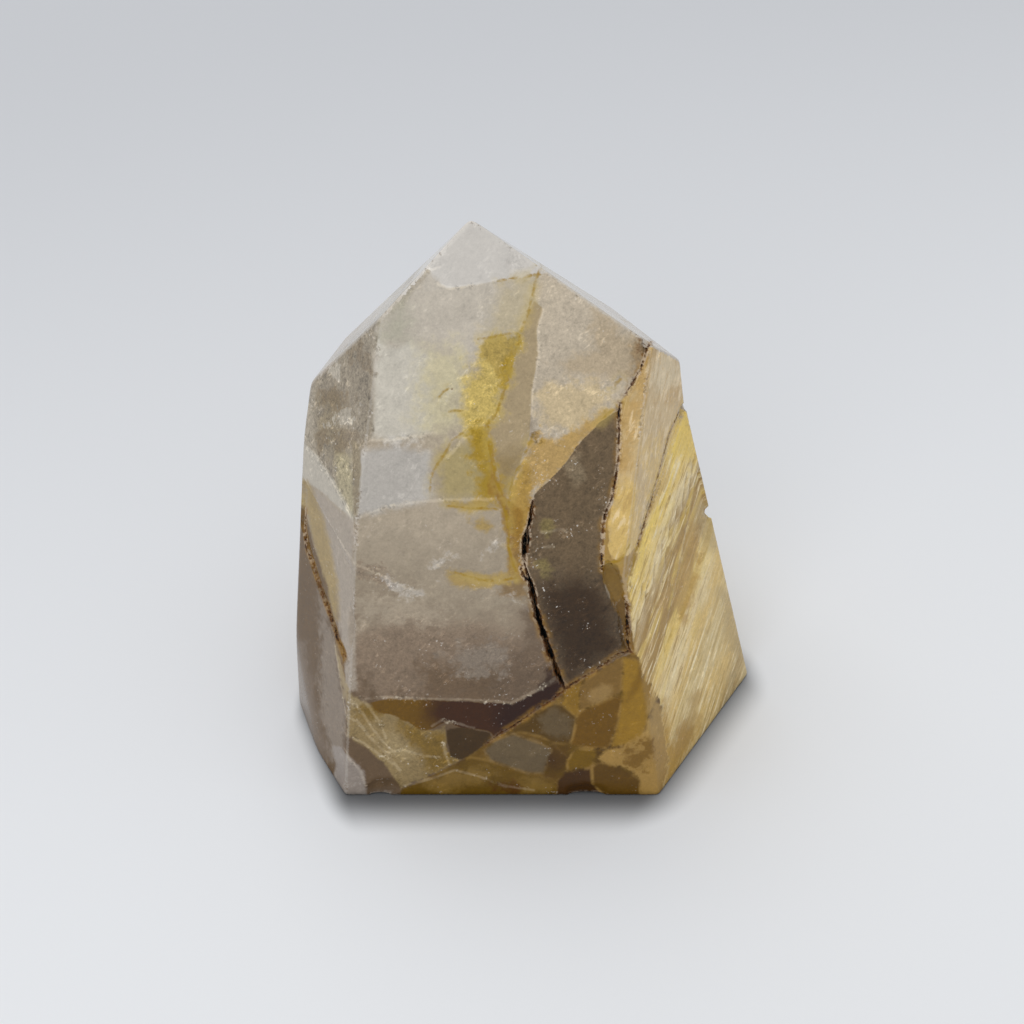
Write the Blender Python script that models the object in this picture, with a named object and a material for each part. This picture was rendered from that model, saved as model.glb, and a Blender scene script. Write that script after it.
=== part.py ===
"""A golden healer quartz tower: one polished, six-sided stone with a three-sided tip.

Two crystals have grown together in it. The main crystal carries the tip, and the side crystal
makes the lower right flank, which stands a little proud of it along an open seam.
Modelled in metres, +Z up, with the middle of the flat cut base at the origin.
"""

import math

import bmesh
import bpy
from mathutils import Matrix, Vector

MM = 0.001

# The rough block that the facets are ground from.
BLOCK_WIDTH = 80.0
BLOCK_DEPTH = 70.0
BLOCK_HEIGHT = 180.0

# Facets: slope of the face from level in degrees, bearing of its outward side in degrees
# (0 is +X, -90 is the front), and its distance from the middle of the base in mm.
SHARED_FACETS = {
    "front": (76.0, -90.0, 22.6),
    "front_tip": (66.0, -86.5, 27.1),
    "left": (79.5, -151.0, 30.3),
    "left_foot": (87.5, -161.0, 30.1),
    "left_tip": (70.0, -150.5, 35.5),
    "left_back": (90.0, 158.0, 24.5),
    "left_back_tip": (52.5, 158.0, 47.3),
    "back": (81.0, 94.0, 22.6),
    "back_tip": (64.0, 97.0, 32.4),
    "right_back": (82.5, 35.0, 23.2),
    "right_back_tip": (45.5, 36.5, 46.1),
}
MAIN_FLANK = {"right_tip": (84.0, -26.0, 20.6)}
SIDE_FLANK = {
    "right": (74.5, -32.0, 25.9),
    "seam": (35.0, -145.0, 23.9),
}
# The side crystal is ground this much deeper on the facets that it shares with the main one.
SIDE_SETBACK = 0.03
FACETS = {**SHARED_FACETS, **MAIN_FLANK, **SIDE_FLANK}

# Polished edges: each edge that turns by more than this is ground to a narrow flat, which touches
# a rounding of this radius.
EDGE_RADIUS = 0.9
SHARP_FROM = math.radians(20.0)

# Places on a facet are (across, up) in mm: across runs level, to the right when the facet is
# faced, and up runs up its slope, both from the foot of its normal on the base.

# Open fissures: the facet, the route as (across, up, gap) and the depth.
FISSURES = {
    "front_fissure": (
        "front",
        [
            (-0.2, 33.0, 0.25),
            (0.0, 31.5, 0.5),
            (0.9, 29.9, 0.6),
            (2.0, 25.8, 0.65),
            (3.0, 22.3, 0.7),
            (4.0, 19.0, 0.65),
            (5.0, 16.1, 0.3),
        ],
        6.0,
    ),
    "front_fissure_middle": (
        "front_tip",
        [(0.1, 41.0, 0.2), (-0.3, 39.5, 0.7), (-0.9, 36.5, 0.8), (-1.1, 34.0, 0.3)],
        6.0,
    ),
    "front_fissure_top": (
        "front_tip",
        [(0.9, 45.5, 0.2), (0.5, 44.2, 0.6), (0.2, 42.4, 0.5), (0.1, 41.4, 0.2)],
        4.0,
    ),
    "window_crack_top": (
        "front_tip",
        [(14.0, 61.3, 0.5), (13.0, 58.5, 0.35), (11.5, 56.1, 0.35), (10.8, 54.4, 0.3)],
        1.6,
    ),
    "window_crack": (
        "front_tip",
        [
            (10.7, 54.0, 0.25),
            (10.6, 50.0, 0.3),
            (10.2, 45.7, 0.3),
            (9.0, 40.8, 0.35),
            (8.4, 38.8, 0.4),
            (8.3, 35.0, 0.3),
        ],
        1.6,
    ),
    "window_foot_crack": (
        "front",
        [(11.9, 21.0, 0.4), (9.6, 19.1, 0.25), (7.5, 17.6, 0.35), (5.2, 16.2, 0.25)],
        1.5,
    ),
    "low_fracture": (
        "front",
        [
            (4.8, 15.8, 0.3),
            (1.7, 13.2, 0.25),
            (-1.2, 10.6, 0.3),
            (-4.1, 8.6, 0.25),
            (-7.9, 5.6, 0.2),
        ],
        0.8,
    ),
    "left_front_crack": (
        "front",
        [(-19.6, 33.2, 0.3), (-17.9, 32.5, 0.4), (-16.0, 31.3, 0.3), (-14.2, 30.3, 0.15)],
        0.8,
    ),
    "left_seam": (
        "left",
        [
            (-11.0, 29.2, 0.5),
            (-8.6, 26.4, 0.35),
            (-6.3, 24.9, 0.35),
            (-3.8, 23.4, 0.4),
            (-0.9, 21.9, 0.4),
            (2.2, 20.1, 0.35),
            (4.8, 18.6, 0.5),
        ],
        1.2,
    ),
    "flank_seam": (
        "right",
        [(13.4, 43.4, 0.4), (8.9, 40.9, 0.35), (4.0, 37.6, 0.4), (-1.2, 33.9, 0.35), (-6.4, 30.3, 0.4)],
        1.8,
    ),
    "back_fissure": (
        "back",
        [(-9.0, 33.0, 0.2), (-5.5, 27.0, 0.5), (-3.5, 20.0, 0.6), (1.0, 13.0, 0.5), (3.0, 6.0, 0.2)],
        3.0,
    ),
    "back_branch": (
        "back",
        [(-3.4, 20.4, 0.4), (2.0, 23.0, 0.35), (7.5, 29.0, 0.2)],
        1.2,
    ),
    "back_seam": (
        "right_back",
        [(-13.5, 41.5, 0.35), (-6.0, 38.0, 0.4), (2.0, 31.0, 0.35), (9.0, 27.5, 0.3)],
        1.5,
    ),
    "left_back_crack": (
        "left_back",
        [(12.5, 29.0, 0.35), (6.0, 33.5, 0.3), (-2.0, 35.0, 0.35), (-8.0, 40.0, 0.2)],
        1.0,
    ),
}

# Ledges, where a layer or a flake of the stone has parted: the facet, the outline and how far
# the surface is sunk inside it.
LEDGES = {
    "left_ledge": (
        "left",
        [
            (-14.0, 31.5),
            (-11.0, 29.2),
            (-6.3, 24.9),
            (2.2, 20.1),
            (5.2, 18.2),
            (9.0, 24.0),
            (9.0, 30.5),
            (-2.0, 33.4),
            (-14.0, 35.5),
        ],
        0.35,
    ),
    "flank_ledge": (
        "right",
        [
            (15.5, 27.0),
            (8.4, 22.0),
            (1.7, 18.4),
            (-3.0, 16.4),
            (-1.2, 19.5),
            (4.5, 25.0),
            (10.0, 31.5),
            (15.5, 36.5),
        ],
        0.4,
    ),
    "flank_tear": (
        "right",
        [(-12.0, 22.0), (-5.6, 24.0), (-4.6, 20.5), (-6.0, 17.0), (-5.2, 13.0), (-7.4, 15.2), (-12.0, 14.0)],
        0.3,
    ),
    "window_pocket": (
        "front",
        [
            (9.5, 33.2),
            (10.9, 33.3),
            (11.9, 31.1),
            (12.5, 28.8),
            (14.5, 27.0),
            (14.5, 24.0),
            (12.4, 21.6),
            (11.7, 22.4),
            (11.3, 25.2),
            (9.9, 29.2),
            (9.3, 31.1),
        ],
        1.3,
    ),
    "back_ledge": (
        "back",
        [(-12.0, 6.5), (-3.0, 8.0), (1.5, 12.2), (-3.2, 19.0), (-10.5, 17.5)],
        0.5,
    ),
    "left_back_ledge": (
        "left_back",
        [(-13.0, 14.0), (-4.0, 11.5), (3.5, 17.0), (-1.0, 24.0), (-12.0, 21.5)],
        0.45,
    ),
}

# Pits and chips, dished as quartz breaks: facet, middle, half width, half height, turn in
# degrees and depth.
HOLLOWS = {
    "shoulder_pit": ("front_tip", (14.0, 61.6), 0.7, 1.2, -20.0, 0.9),
    "rust_pit": ("front_tip", (0.8, 51.2), 0.55, 0.5, 0.0, 0.5),
    "rust_pit_upper": ("front_tip", (0.6, 52.5), 0.45, 0.4, 30.0, 0.4),
    "tip_pit": ("front_tip", (-1.6, 71.2), 0.3, 0.9, 15.0, 0.3),
    "seam_notch": ("right", (12.3, 43.2), 0.9, 0.7, 0.0, 0.7),
    "flank_notch": ("right", (13.2, 27.2), 0.7, 1.2, 35.0, 0.9),
    "left_edge_chip": ("left", (4.8, 24.0), 0.6, 3.0, 10.0, 0.9),
    "foot_chip": ("front", (-17.5, 1.2), 2.2, 1.3, 12.0, 0.6),
    "foot_chip_right": ("front", (8.0, 0.6), 2.6, 1.0, 0.0, 0.5),
    "back_pit": ("back", (6.0, 17.0), 0.8, 0.6, 20.0, 0.6),
    "back_pit_low": ("back", (9.5, 9.0), 0.5, 0.7, -10.0, 0.4),
    "back_chip": ("back", (-9.6, 31.0), 1.0, 2.2, 10.0, 0.5),
    "left_back_pit": ("left_back", (8.5, 16.0), 0.7, 0.9, 25.0, 0.5),
    "right_back_pit": ("right_back", (3.0, 15.5), 0.9, 0.6, -15.0, 0.5),
}

# Growth lines on the right flank: long shallow grooves that run down from the seam.
GROWTH_LINES = 8
GROWTH_START = (-3.5, 28.5)
GROWTH_STEP = (2.3, 1.15)
GROWTH_RUN = (-5.6, -7.6)
GROWTH_GAP = 0.45
GROWTH_DEPTH = 0.3

CLEARANCE = 3.0
HOLLOW_RINGS = 7
HOLLOW_SIDES = 14


def clear_scene():
    """Remove every object that the scene starts with."""
    for existing in list(bpy.data.objects):
        bpy.data.objects.remove(existing, do_unlink=True)


def new_collection(name):
    """A collection linked to the scene."""
    collection = bpy.data.collections.new(name)
    bpy.context.scene.collection.children.link(collection)
    return collection


def facet_normal(slope, bearing):
    """The outward direction of a facet."""
    tilt = math.radians(slope)
    turn = math.radians(bearing)
    return Vector((math.cos(turn) * math.sin(tilt), math.sin(turn) * math.sin(tilt), math.cos(tilt)))


def facet_place(name):
    """The frame of a facet in metres: X across it, Y up its slope, Z outwards, from its foot."""
    slope, bearing, distance = FACETS[name]
    normal = facet_normal(slope, bearing)
    across = Vector((-normal.y, normal.x, 0.0)).normalized()
    up = normal.cross(across)
    level = Vector((normal.x, normal.y, 0.0))
    foot = level * (distance * MM / normal.dot(level))
    place = Matrix((across, up, normal)).transposed().to_4x4()
    place.translation = foot
    return place


def mesh_object(name, mesh, collection):
    """An object for a mesh, in a collection."""
    made = bpy.data.objects.new(name, mesh)
    collection.objects.link(made)
    return made


def as_cutter(cutter):
    """Show an object as a wire guide only."""
    cutter.hide_render = True
    cutter.display_type = "WIRE"
    return cutter


def grind(mesh, normal, distance):
    """Cut a closed convex mesh flat across a direction, at a distance in mm, and close the cut."""
    cut = bmesh.ops.bisect_plane(
        mesh,
        geom=mesh.verts[:] + mesh.edges[:] + mesh.faces[:],
        plane_co=normal * distance * MM,
        plane_no=normal,
        clear_outer=True,
    )
    rim = [part for part in cut["geom_cut"] if isinstance(part, bmesh.types.BMEdge)]
    if rim:
        bmesh.ops.contextual_create(mesh, geom=rim)


def sharp_edges(mesh, planes):
    """The pairs of planes that meet in an edge of the mesh and turn sharply there."""
    pairs = set()
    for edge in mesh.edges:
        sides = []
        for face in edge.link_faces:
            name = max(planes, key=lambda other: planes[other][0].dot(face.normal))
            sides.append(name)
        turn = edge.link_faces[0].normal.angle(edge.link_faces[1].normal)
        if turn > SHARP_FROM:
            pairs.add(tuple(sorted(sides)))
    return sorted(pairs)


def ease_edge(mesh, first, second):
    """Grind the edge between two planes to a narrow flat."""
    middle = first[0] + second[0]
    edge_distance = (first[1] + second[1]) / middle.length
    half_turn = 0.5 * first[0].angle(second[0])
    grind(mesh, middle.normalized(), edge_distance - EDGE_RADIUS * (1.0 / math.cos(half_turn) - 1.0))


def crystal(name, facets, setback, collection):
    """A block ground flat at each facet in turn, with its edges eased.

    The shared facets and the base lie deeper by the setback.
    """
    ground = bmesh.new()
    size = Matrix.Diagonal((BLOCK_WIDTH * MM, BLOCK_DEPTH * MM, BLOCK_HEIGHT * MM, 1.0))
    bmesh.ops.create_cube(ground, size=1.0, matrix=size)
    planes = {"base": (Vector((0.0, 0.0, -1.0)), -setback)}
    grind(ground, *planes["base"])
    for facet, (slope, bearing, distance) in facets.items():
        deeper = setback if facet in SHARED_FACETS else 0.0
        planes[facet] = (facet_normal(slope, bearing), distance - deeper)
        grind(ground, *planes[facet])
    ground.normal_update()
    for first, second in sharp_edges(ground, planes):
        if "seam" not in (first, second):
            ease_edge(ground, planes[first], planes[second])
    bmesh.ops.recalc_face_normals(ground, faces=ground.faces[:])
    mesh = bpy.data.meshes.new(name)
    ground.to_mesh(mesh)
    ground.free()
    return mesh_object(name, mesh, collection)


def plate(name, facet, outline, top, bottom, collection):
    """A flat piece with the given outline on a facet, from one height above it to another."""
    curve = bpy.data.curves.new(name + "_outline", "CURVE")
    curve.dimensions = "2D"
    curve.fill_mode = "BOTH"
    curve.extrude = 0.5 * (top - bottom) * MM
    spline = curve.splines.new("POLY")
    spline.points.add(len(outline) - 1)
    for point, (across, up) in zip(spline.points, outline):
        point.co = (across * MM, up * MM, 0.0, 1.0)
    spline.use_cyclic_u = True
    guide = bpy.data.objects.new(name + "_outline", curve)
    collection.objects.link(guide)
    bpy.context.view_layer.update()
    mesh = bpy.data.meshes.new_from_object(guide.evaluated_get(bpy.context.evaluated_depsgraph_get()))
    bpy.data.objects.remove(guide, do_unlink=True)
    closed = bmesh.new()
    closed.from_mesh(mesh)
    bmesh.ops.remove_doubles(closed, verts=closed.verts[:], dist=0.00001)
    bmesh.ops.recalc_face_normals(closed, faces=closed.faces[:])
    closed.to_mesh(mesh)
    closed.free()
    made = mesh_object(name, mesh, collection)
    made.matrix_world = facet_place(facet) @ Matrix.Translation((0.0, 0.0, 0.5 * (top + bottom) * MM))
    return as_cutter(made)


def fissure(name, facet, route, depth, collection):
    """A thin upright blade that follows a route on a facet, as wide as the gap at each point."""
    left_bank = []
    right_bank = []
    for index, (across, up, gap) in enumerate(route):
        before = Vector(route[max(index - 1, 0)][:2])
        after = Vector(route[min(index + 1, len(route) - 1)][:2])
        along = (after - before).normalized()
        side = Vector((-along.y, along.x)) * 0.5 * gap
        left_bank.append((across + side.x, up + side.y))
        right_bank.append((across - side.x, up - side.y))
    return plate(name, facet, left_bank + right_bank[::-1], CLEARANCE, -depth, collection)


def hollow(name, facet, middle, half_width, half_height, turn, depth, collection):
    """An egg sunk halfway into a facet, which leaves a dished hollow."""
    rounded = bmesh.new()
    bmesh.ops.create_uvsphere(rounded, u_segments=HOLLOW_SIDES, v_segments=HOLLOW_RINGS, radius=1.0)
    mesh = bpy.data.meshes.new(name)
    rounded.to_mesh(mesh)
    rounded.free()
    made = mesh_object(name, mesh, collection)
    place = Matrix.Translation((middle[0] * MM, middle[1] * MM, 0.0))
    size = Matrix.Diagonal((half_width * MM, half_height * MM, depth * MM, 1.0))
    made.matrix_world = facet_place(facet) @ place @ Matrix.Rotation(math.radians(turn), 4, "Z") @ size
    return as_cutter(made)


def growth_line(index, collection):
    """One growth groove on the right flank."""
    start = (GROWTH_START[0] + GROWTH_STEP[0] * index, GROWTH_START[1] + GROWTH_STEP[1] * index)
    shorter = 1.0 - 0.3 * (index % 3)
    middle = (start[0] + 0.5 * GROWTH_RUN[0] * shorter, start[1] + 0.5 * GROWTH_RUN[1] * shorter)
    end = (start[0] + GROWTH_RUN[0] * shorter, start[1] + GROWTH_RUN[1] * shorter)
    route = [(*start, 0.5 * GROWTH_GAP), (*middle, GROWTH_GAP), (*end, 0.3 * GROWTH_GAP)]
    return fissure(f"growth_line_{index + 1}", "right", route, GROWTH_DEPTH, collection)


def boolean(stone, operation, tool):
    """Join a piece to the stone, or cut with it."""
    step = stone.modifiers.new(tool.name, "BOOLEAN")
    step.operation = operation
    step.solver = "EXACT"
    step.object = tool


def golden_quartz():
    """Cloudy grey quartz with a golden cast."""
    material = bpy.data.materials.new("golden_healer_quartz")
    material.use_nodes = True
    shader = material.node_tree.nodes["Principled BSDF"]
    shader.inputs["Base Color"].default_value = (0.42, 0.34, 0.21, 1.0)
    shader.inputs["Roughness"].default_value = 0.12
    shader.inputs["Metallic"].default_value = 0.0
    shader.inputs["IOR"].default_value = 1.54
    return material


def build():
    """Make the tower."""
    clear_scene()
    parts = new_collection("golden_healer_quartz_tower")
    cutters = new_collection("cutters")
    stone = crystal("quartz_tower", {**SHARED_FACETS, **MAIN_FLANK}, 0.0, parts)
    side = as_cutter(crystal("side_crystal", {**SHARED_FACETS, **SIDE_FLANK}, SIDE_SETBACK, cutters))
    boolean(stone, "UNION", side)
    for name, (facet, outline, depth) in LEDGES.items():
        boolean(stone, "DIFFERENCE", plate(name, facet, outline, CLEARANCE, -depth, cutters))
    for index in range(GROWTH_LINES):
        boolean(stone, "DIFFERENCE", growth_line(index, cutters))
    for name, values in HOLLOWS.items():
        boolean(stone, "DIFFERENCE", hollow(name, *values, cutters))
    for name, (facet, route, depth) in FISSURES.items():
        boolean(stone, "DIFFERENCE", fissure(name, facet, route, depth, cutters))
    stone.data.materials.append(golden_quartz())


build()
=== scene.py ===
"""The looks of the golden healer quartz tower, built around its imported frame.

One dressed stone stands for the CAD node. Its skin is ground from the same facets, with softly
polished edges. Geometry Nodes cut the seams, fissures and growth lines into it, and one material
colours it by named zones of the stone.
"""

import math
from typing import NamedTuple

import bmesh
import bpy
import numpy as np
from mathutils import Matrix, Vector
from mathutils.kdtree import KDTree


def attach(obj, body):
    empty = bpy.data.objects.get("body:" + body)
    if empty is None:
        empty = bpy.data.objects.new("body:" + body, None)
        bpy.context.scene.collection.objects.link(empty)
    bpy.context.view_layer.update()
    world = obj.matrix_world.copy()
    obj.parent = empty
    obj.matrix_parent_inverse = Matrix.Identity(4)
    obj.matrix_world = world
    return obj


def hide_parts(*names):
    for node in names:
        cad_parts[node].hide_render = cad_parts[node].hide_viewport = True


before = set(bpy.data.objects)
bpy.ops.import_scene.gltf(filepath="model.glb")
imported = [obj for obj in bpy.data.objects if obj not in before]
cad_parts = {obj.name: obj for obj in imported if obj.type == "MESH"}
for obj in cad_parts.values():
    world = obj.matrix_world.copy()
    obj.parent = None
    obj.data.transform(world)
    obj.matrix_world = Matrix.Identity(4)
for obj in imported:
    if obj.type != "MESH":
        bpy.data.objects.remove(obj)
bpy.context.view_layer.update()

MM = 0.001


def linked(made):
    """An object, once it is linked to the scene."""
    bpy.context.scene.collection.objects.link(made)
    return made


# ------------------------------------------------------------------ the ground facets

# Slope of the face from level in degrees, bearing of its outward side in degrees (0 is +X, -90 is
# the front), and its distance from the middle of the base in mm.
SHARED_FACETS = {
    "front": (76.0, -90.0, 22.6),
    "front_tip": (66.0, -86.5, 27.1),
    "left": (79.5, -151.0, 30.3),
    "left_foot": (87.5, -161.0, 30.1),
    "left_tip": (70.0, -150.5, 35.5),
    "left_back": (90.0, 158.0, 24.5),
    "left_back_tip": (52.5, 158.0, 47.3),
    "back": (81.0, 94.0, 22.6),
    "back_tip": (64.0, 97.0, 32.4),
    "right_back": (82.5, 35.0, 23.2),
    "right_back_tip": (45.5, 36.5, 46.1),
    "base": (180.0, 0.0, 0.0),
}
MAIN_FLANK = {"right_tip": (84.0, -26.0, 20.6)}
SIDE_FLANK = {
    "right": (74.5, -32.0, 25.9),
    "seam": (35.0, -145.0, 23.9),
}
FACETS = {**SHARED_FACETS, **MAIN_FLANK, **SIDE_FLANK}
# The facets that the sight lines meet.
SIGHT_FACETS = ("front", "front_tip", "left", "left_foot", "left_tip", "left_back_tip", "right_tip", "right")

# How softly the polished edges and the seam's bottom are rounded, in mm.
EDGE_SOFTNESS = 0.15
SEAM_SOFTNESS = 0.08
# The point inside the stone that its skin is measured from, in mm.
HEART = np.array([0.0, 0.0, 22.0])
# A ray that closes on a facet more slowly than this is taken to run along it.
ALONG = 1e-6
# How many times rays are settled on the rounded stone, and how slowly one may leave it at least.
SETTLE_ROUNDS = 4
SLOWEST_EXIT = 0.15


def facet_normal(name):
    """The outward direction of a facet."""
    slope, bearing, _ = FACETS[name]
    tilt = math.radians(slope)
    turn = math.radians(bearing)
    return np.array([math.cos(turn) * math.sin(tilt), math.sin(turn) * math.sin(tilt), math.cos(tilt)])


def facet_axes(name):
    """The foot of a facet, its level direction and its upward direction."""
    normal = facet_normal(name)
    across = np.array([-normal[1], normal[0], 0.0]) / math.hypot(normal[0], normal[1])
    level = np.array([normal[0], normal[1], 0.0])
    return level * (FACETS[name][2] / (normal @ level)), across, np.cross(normal, across)


def planes(names):
    """The normals and the distances of some facets."""
    return np.array([facet_normal(name) for name in names]), np.array([FACETS[name][2] for name in names])


def soft_max(heights, slopes, softness):
    """A rounded greatest value of each row, and its slope."""
    peak = heights.max(axis=1, keepdims=True)
    share = np.exp((heights - peak) / softness)
    total = share.sum(axis=1, keepdims=True)
    top = peak[:, 0] + softness * np.log(total[:, 0])
    return top, np.einsum("pf,pfd->pd", share / total, slopes)


def height_over(points, names, softness=EDGE_SOFTNESS):
    """How far points stand over the rounded body that some facets bound, and the slope of that."""
    normals, distances = planes(names)
    slopes = np.broadcast_to(normals, (len(points), *normals.shape))
    return soft_max(points @ normals.T - distances, slopes, softness)


def height_over_stone(points):
    """How far points stand over the polished stone in mm, and the slope of that."""
    main, main_slope = height_over(points, tuple(MAIN_FLANK))
    side, side_slope = height_over(points, tuple(SIDE_FLANK))
    outer, outer_slope = soft_max(
        np.stack([-main, -side], axis=1), np.stack([-main_slope, -side_slope], axis=1), SEAM_SOFTNESS
    )
    normals, distances = planes(SHARED_FACETS)
    heights = np.column_stack([points @ normals.T - distances, -outer])
    slopes = np.empty((*heights.shape, 3))
    slopes[:, :-1] = normals
    slopes[:, -1] = -outer_slope
    return soft_max(heights, slopes, EDGE_SOFTNESS)


def skin(directions):
    """Where rays from the heart leave the polished stone, and the stone's outward direction there."""
    reach = np.zeros(len(directions))
    for flank in (MAIN_FLANK, SIDE_FLANK):
        normals, distances = planes([*SHARED_FACETS, *flank])
        room = distances - normals @ HEART
        speed = directions @ normals.T
        way_out = np.where(speed > ALONG, room / np.maximum(speed, ALONG), np.inf).min(axis=1)
        reach = np.maximum(reach, way_out)
    for _ in range(SETTLE_ROUNDS):
        points = HEART + directions * reach[:, None]
        height, slope = height_over_stone(points)
        closing = np.maximum(np.einsum("pd,pd->p", slope, directions), SLOWEST_EXIT)
        reach = reach - height / closing
    points = HEART + directions * reach[:, None]
    slope = height_over_stone(points)[1]
    return points, slope / np.linalg.norm(slope, axis=1, keepdims=True)


# ------------------------------------------------------------------ the camera and its sight lines

# The camera's place in mm and its tilt below level. Places on the seen side are (x, y) in a square
# frame of this many steps, and a sight line through the place meets the stone there.
EYE = np.array([-1.33, -186.12, 194.60])
TILT = math.radians(42.0)
FRAME_SIDE = 1024
FOCAL = 2000.0
SIGHT_RIGHT = np.array([1.0, 0.0, 0.0])
SIGHT_AHEAD = np.array([0.0, math.cos(TILT), -math.sin(TILT)])
SIGHT_UP = np.cross(SIGHT_RIGHT, SIGHT_AHEAD)
# Steps of the frame for a millimetre of the stone's front.
STEPS_PER_MM = 7.7


def frame_places(points):
    """The frame places of points in mm."""
    from_eye = points - EYE
    depth = from_eye @ SIGHT_AHEAD
    across = FOCAL * (from_eye @ SIGHT_RIGHT) / depth
    down = -FOCAL * (from_eye @ SIGHT_UP) / depth
    return np.column_stack([across, down]) + FRAME_SIDE / 2


def cast(places):
    """Where the sight lines through frame places meet the ground facets, in mm."""
    across, down = (np.asarray(places, float) - FRAME_SIDE / 2).T
    sight = FOCAL * SIGHT_AHEAD + across[:, None] * SIGHT_RIGHT - down[:, None] * SIGHT_UP
    nearest = np.full(len(sight), np.inf)
    for flank in (MAIN_FLANK, SIDE_FLANK):
        normals, distances = planes([*SHARED_FACETS, *flank])
        room = distances - normals @ EYE
        speed = sight @ normals.T
        share = room / np.where(np.abs(speed) < ALONG, ALONG, speed)
        way_in = np.where(speed < 0, share, -np.inf).max(axis=1)
        way_out = np.where(speed > 0, share, np.inf).min(axis=1)
        nearest = np.minimum(nearest, np.where(way_in <= way_out, way_in, np.inf))
    return EYE + sight * nearest[:, None]


# ------------------------------------------------------------------ seams, fissures and veins


class Route(NamedTuple):
    """A line on the stone. Its points are (x, y, width in mm), and its depth is in mm."""

    surface: str
    points: list
    depth: float = 0.0


# A surface is the seen side ("sight", with frame places) or a facet (with places across and up it
# in mm from its foot). Open routes are cut, gold and pale ones only coloured.
OPEN_ROUTES = {
    "front_fissure": Route("sight", [
        (533, 500, 0.12), (532, 508, 0.34), (531, 518, 0.39), (528, 529, 0.3), (526, 538, 0.9),
        (525, 548, 0.8), (524, 558, 0.5), (525, 567, 0.18), (528, 576, 0.16), (531, 585, 0.55),
        (533, 596, 0.81), (535, 607, 0.43), (538, 617, 0.9), (541, 626, 0.39), (544, 635, 0.83),
        (547, 644, 0.51), (550, 653, 0.86), (554, 663, 0.42), (557, 672, 0.68), (561, 681, 0.4),
        (565, 690, 0.2),
    ], 1.6),
    "fissure_thread": Route("sight", [
        (524, 562, 0.2), (521, 569, 0.22), (524, 577, 0.18), (530, 583, 0.3),
    ], 0.6),
    "shoulder_crack": Route("sight", [
        (652, 341, 0.06), (649, 346, 0.12), (645, 357, 0.08), (640, 370, 0.07), (633, 383, 0.07),
        (625, 394, 0.06),
    ], 0.6),
    "window_crack": Route("sight", [
        (620, 403, 0.13), (619, 413, 0.17), (619, 428, 0.13), (619, 444, 0.13), (618, 460, 0.09),
        (616, 478, 0.08), (613, 492, 0.08), (611, 501, 0.14), (606, 512, 0.13), (603, 524, 0.13),
        (603, 540, 0.11), (602, 556, 0.15), (602, 570, 0.06),
    ], 0.7),
    "pocket_crack": Route("sight", [
        (626, 597, 0.09), (630, 607, 0.16), (628, 620, 0.18), (628, 633, 0.19), (628, 646, 0.19),
        (631, 652, 0.19),
    ], 0.7),
    "window_foot_crack": Route("sight", [
        (631, 651, 0.17), (618, 654, 0.14), (604, 664, 0.13), (594, 671, 0.09), (579, 680, 0.14),
        (565, 689, 0.17),
    ], 0.5),
    "low_fracture": Route("sight", [
        (563, 691, 0.13), (552, 700, 0.08), (537, 709, 0.11), (525, 718, 0.09), (512, 727, 0.13),
        (499, 734, 0.11), (486, 744, 0.08),
    ], 0.35),
    "side_seam": Route("sight", [
        (682, 406, 0.11), (669, 434, 0.08), (661, 465, 0.11), (654, 492, 0.1), (645, 520, 0.11),
        (637, 545, 0.08),
    ], 0.5),
    "left_seam": Route("sight", [
        (304, 510, 0.2), (303, 528, 0.12), (306, 548, 0.12), (312, 565, 0.11), (319, 588, 0.12),
        (328, 612, 0.11), (337, 640, 0.12), (344, 658, 0.08),
    ], 0.6),
    "back_fissure": Route("back", [
        (-9.0, 33.0, 0.2), (-5.5, 27.0, 0.5), (-3.5, 20.0, 0.6), (1.0, 13.0, 0.5), (3.0, 6.0, 0.2),
    ], 1.8),
    "back_branch": Route("back", [(-3.4, 20.4, 0.4), (2.0, 23.0, 0.35), (7.5, 29.0, 0.2)], 0.8),
    "back_seam": Route("right_back", [
        (-13.5, 41.5, 0.35), (-6.0, 38.0, 0.4), (2.0, 31.0, 0.35), (9.0, 27.5, 0.3),
    ], 0.9),
    "left_back_crack": Route("left_back", [
        (12.5, 29.0, 0.35), (6.0, 33.5, 0.3), (-2.0, 35.0, 0.35), (-8.0, 40.0, 0.2),
    ], 0.7),
}
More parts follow.
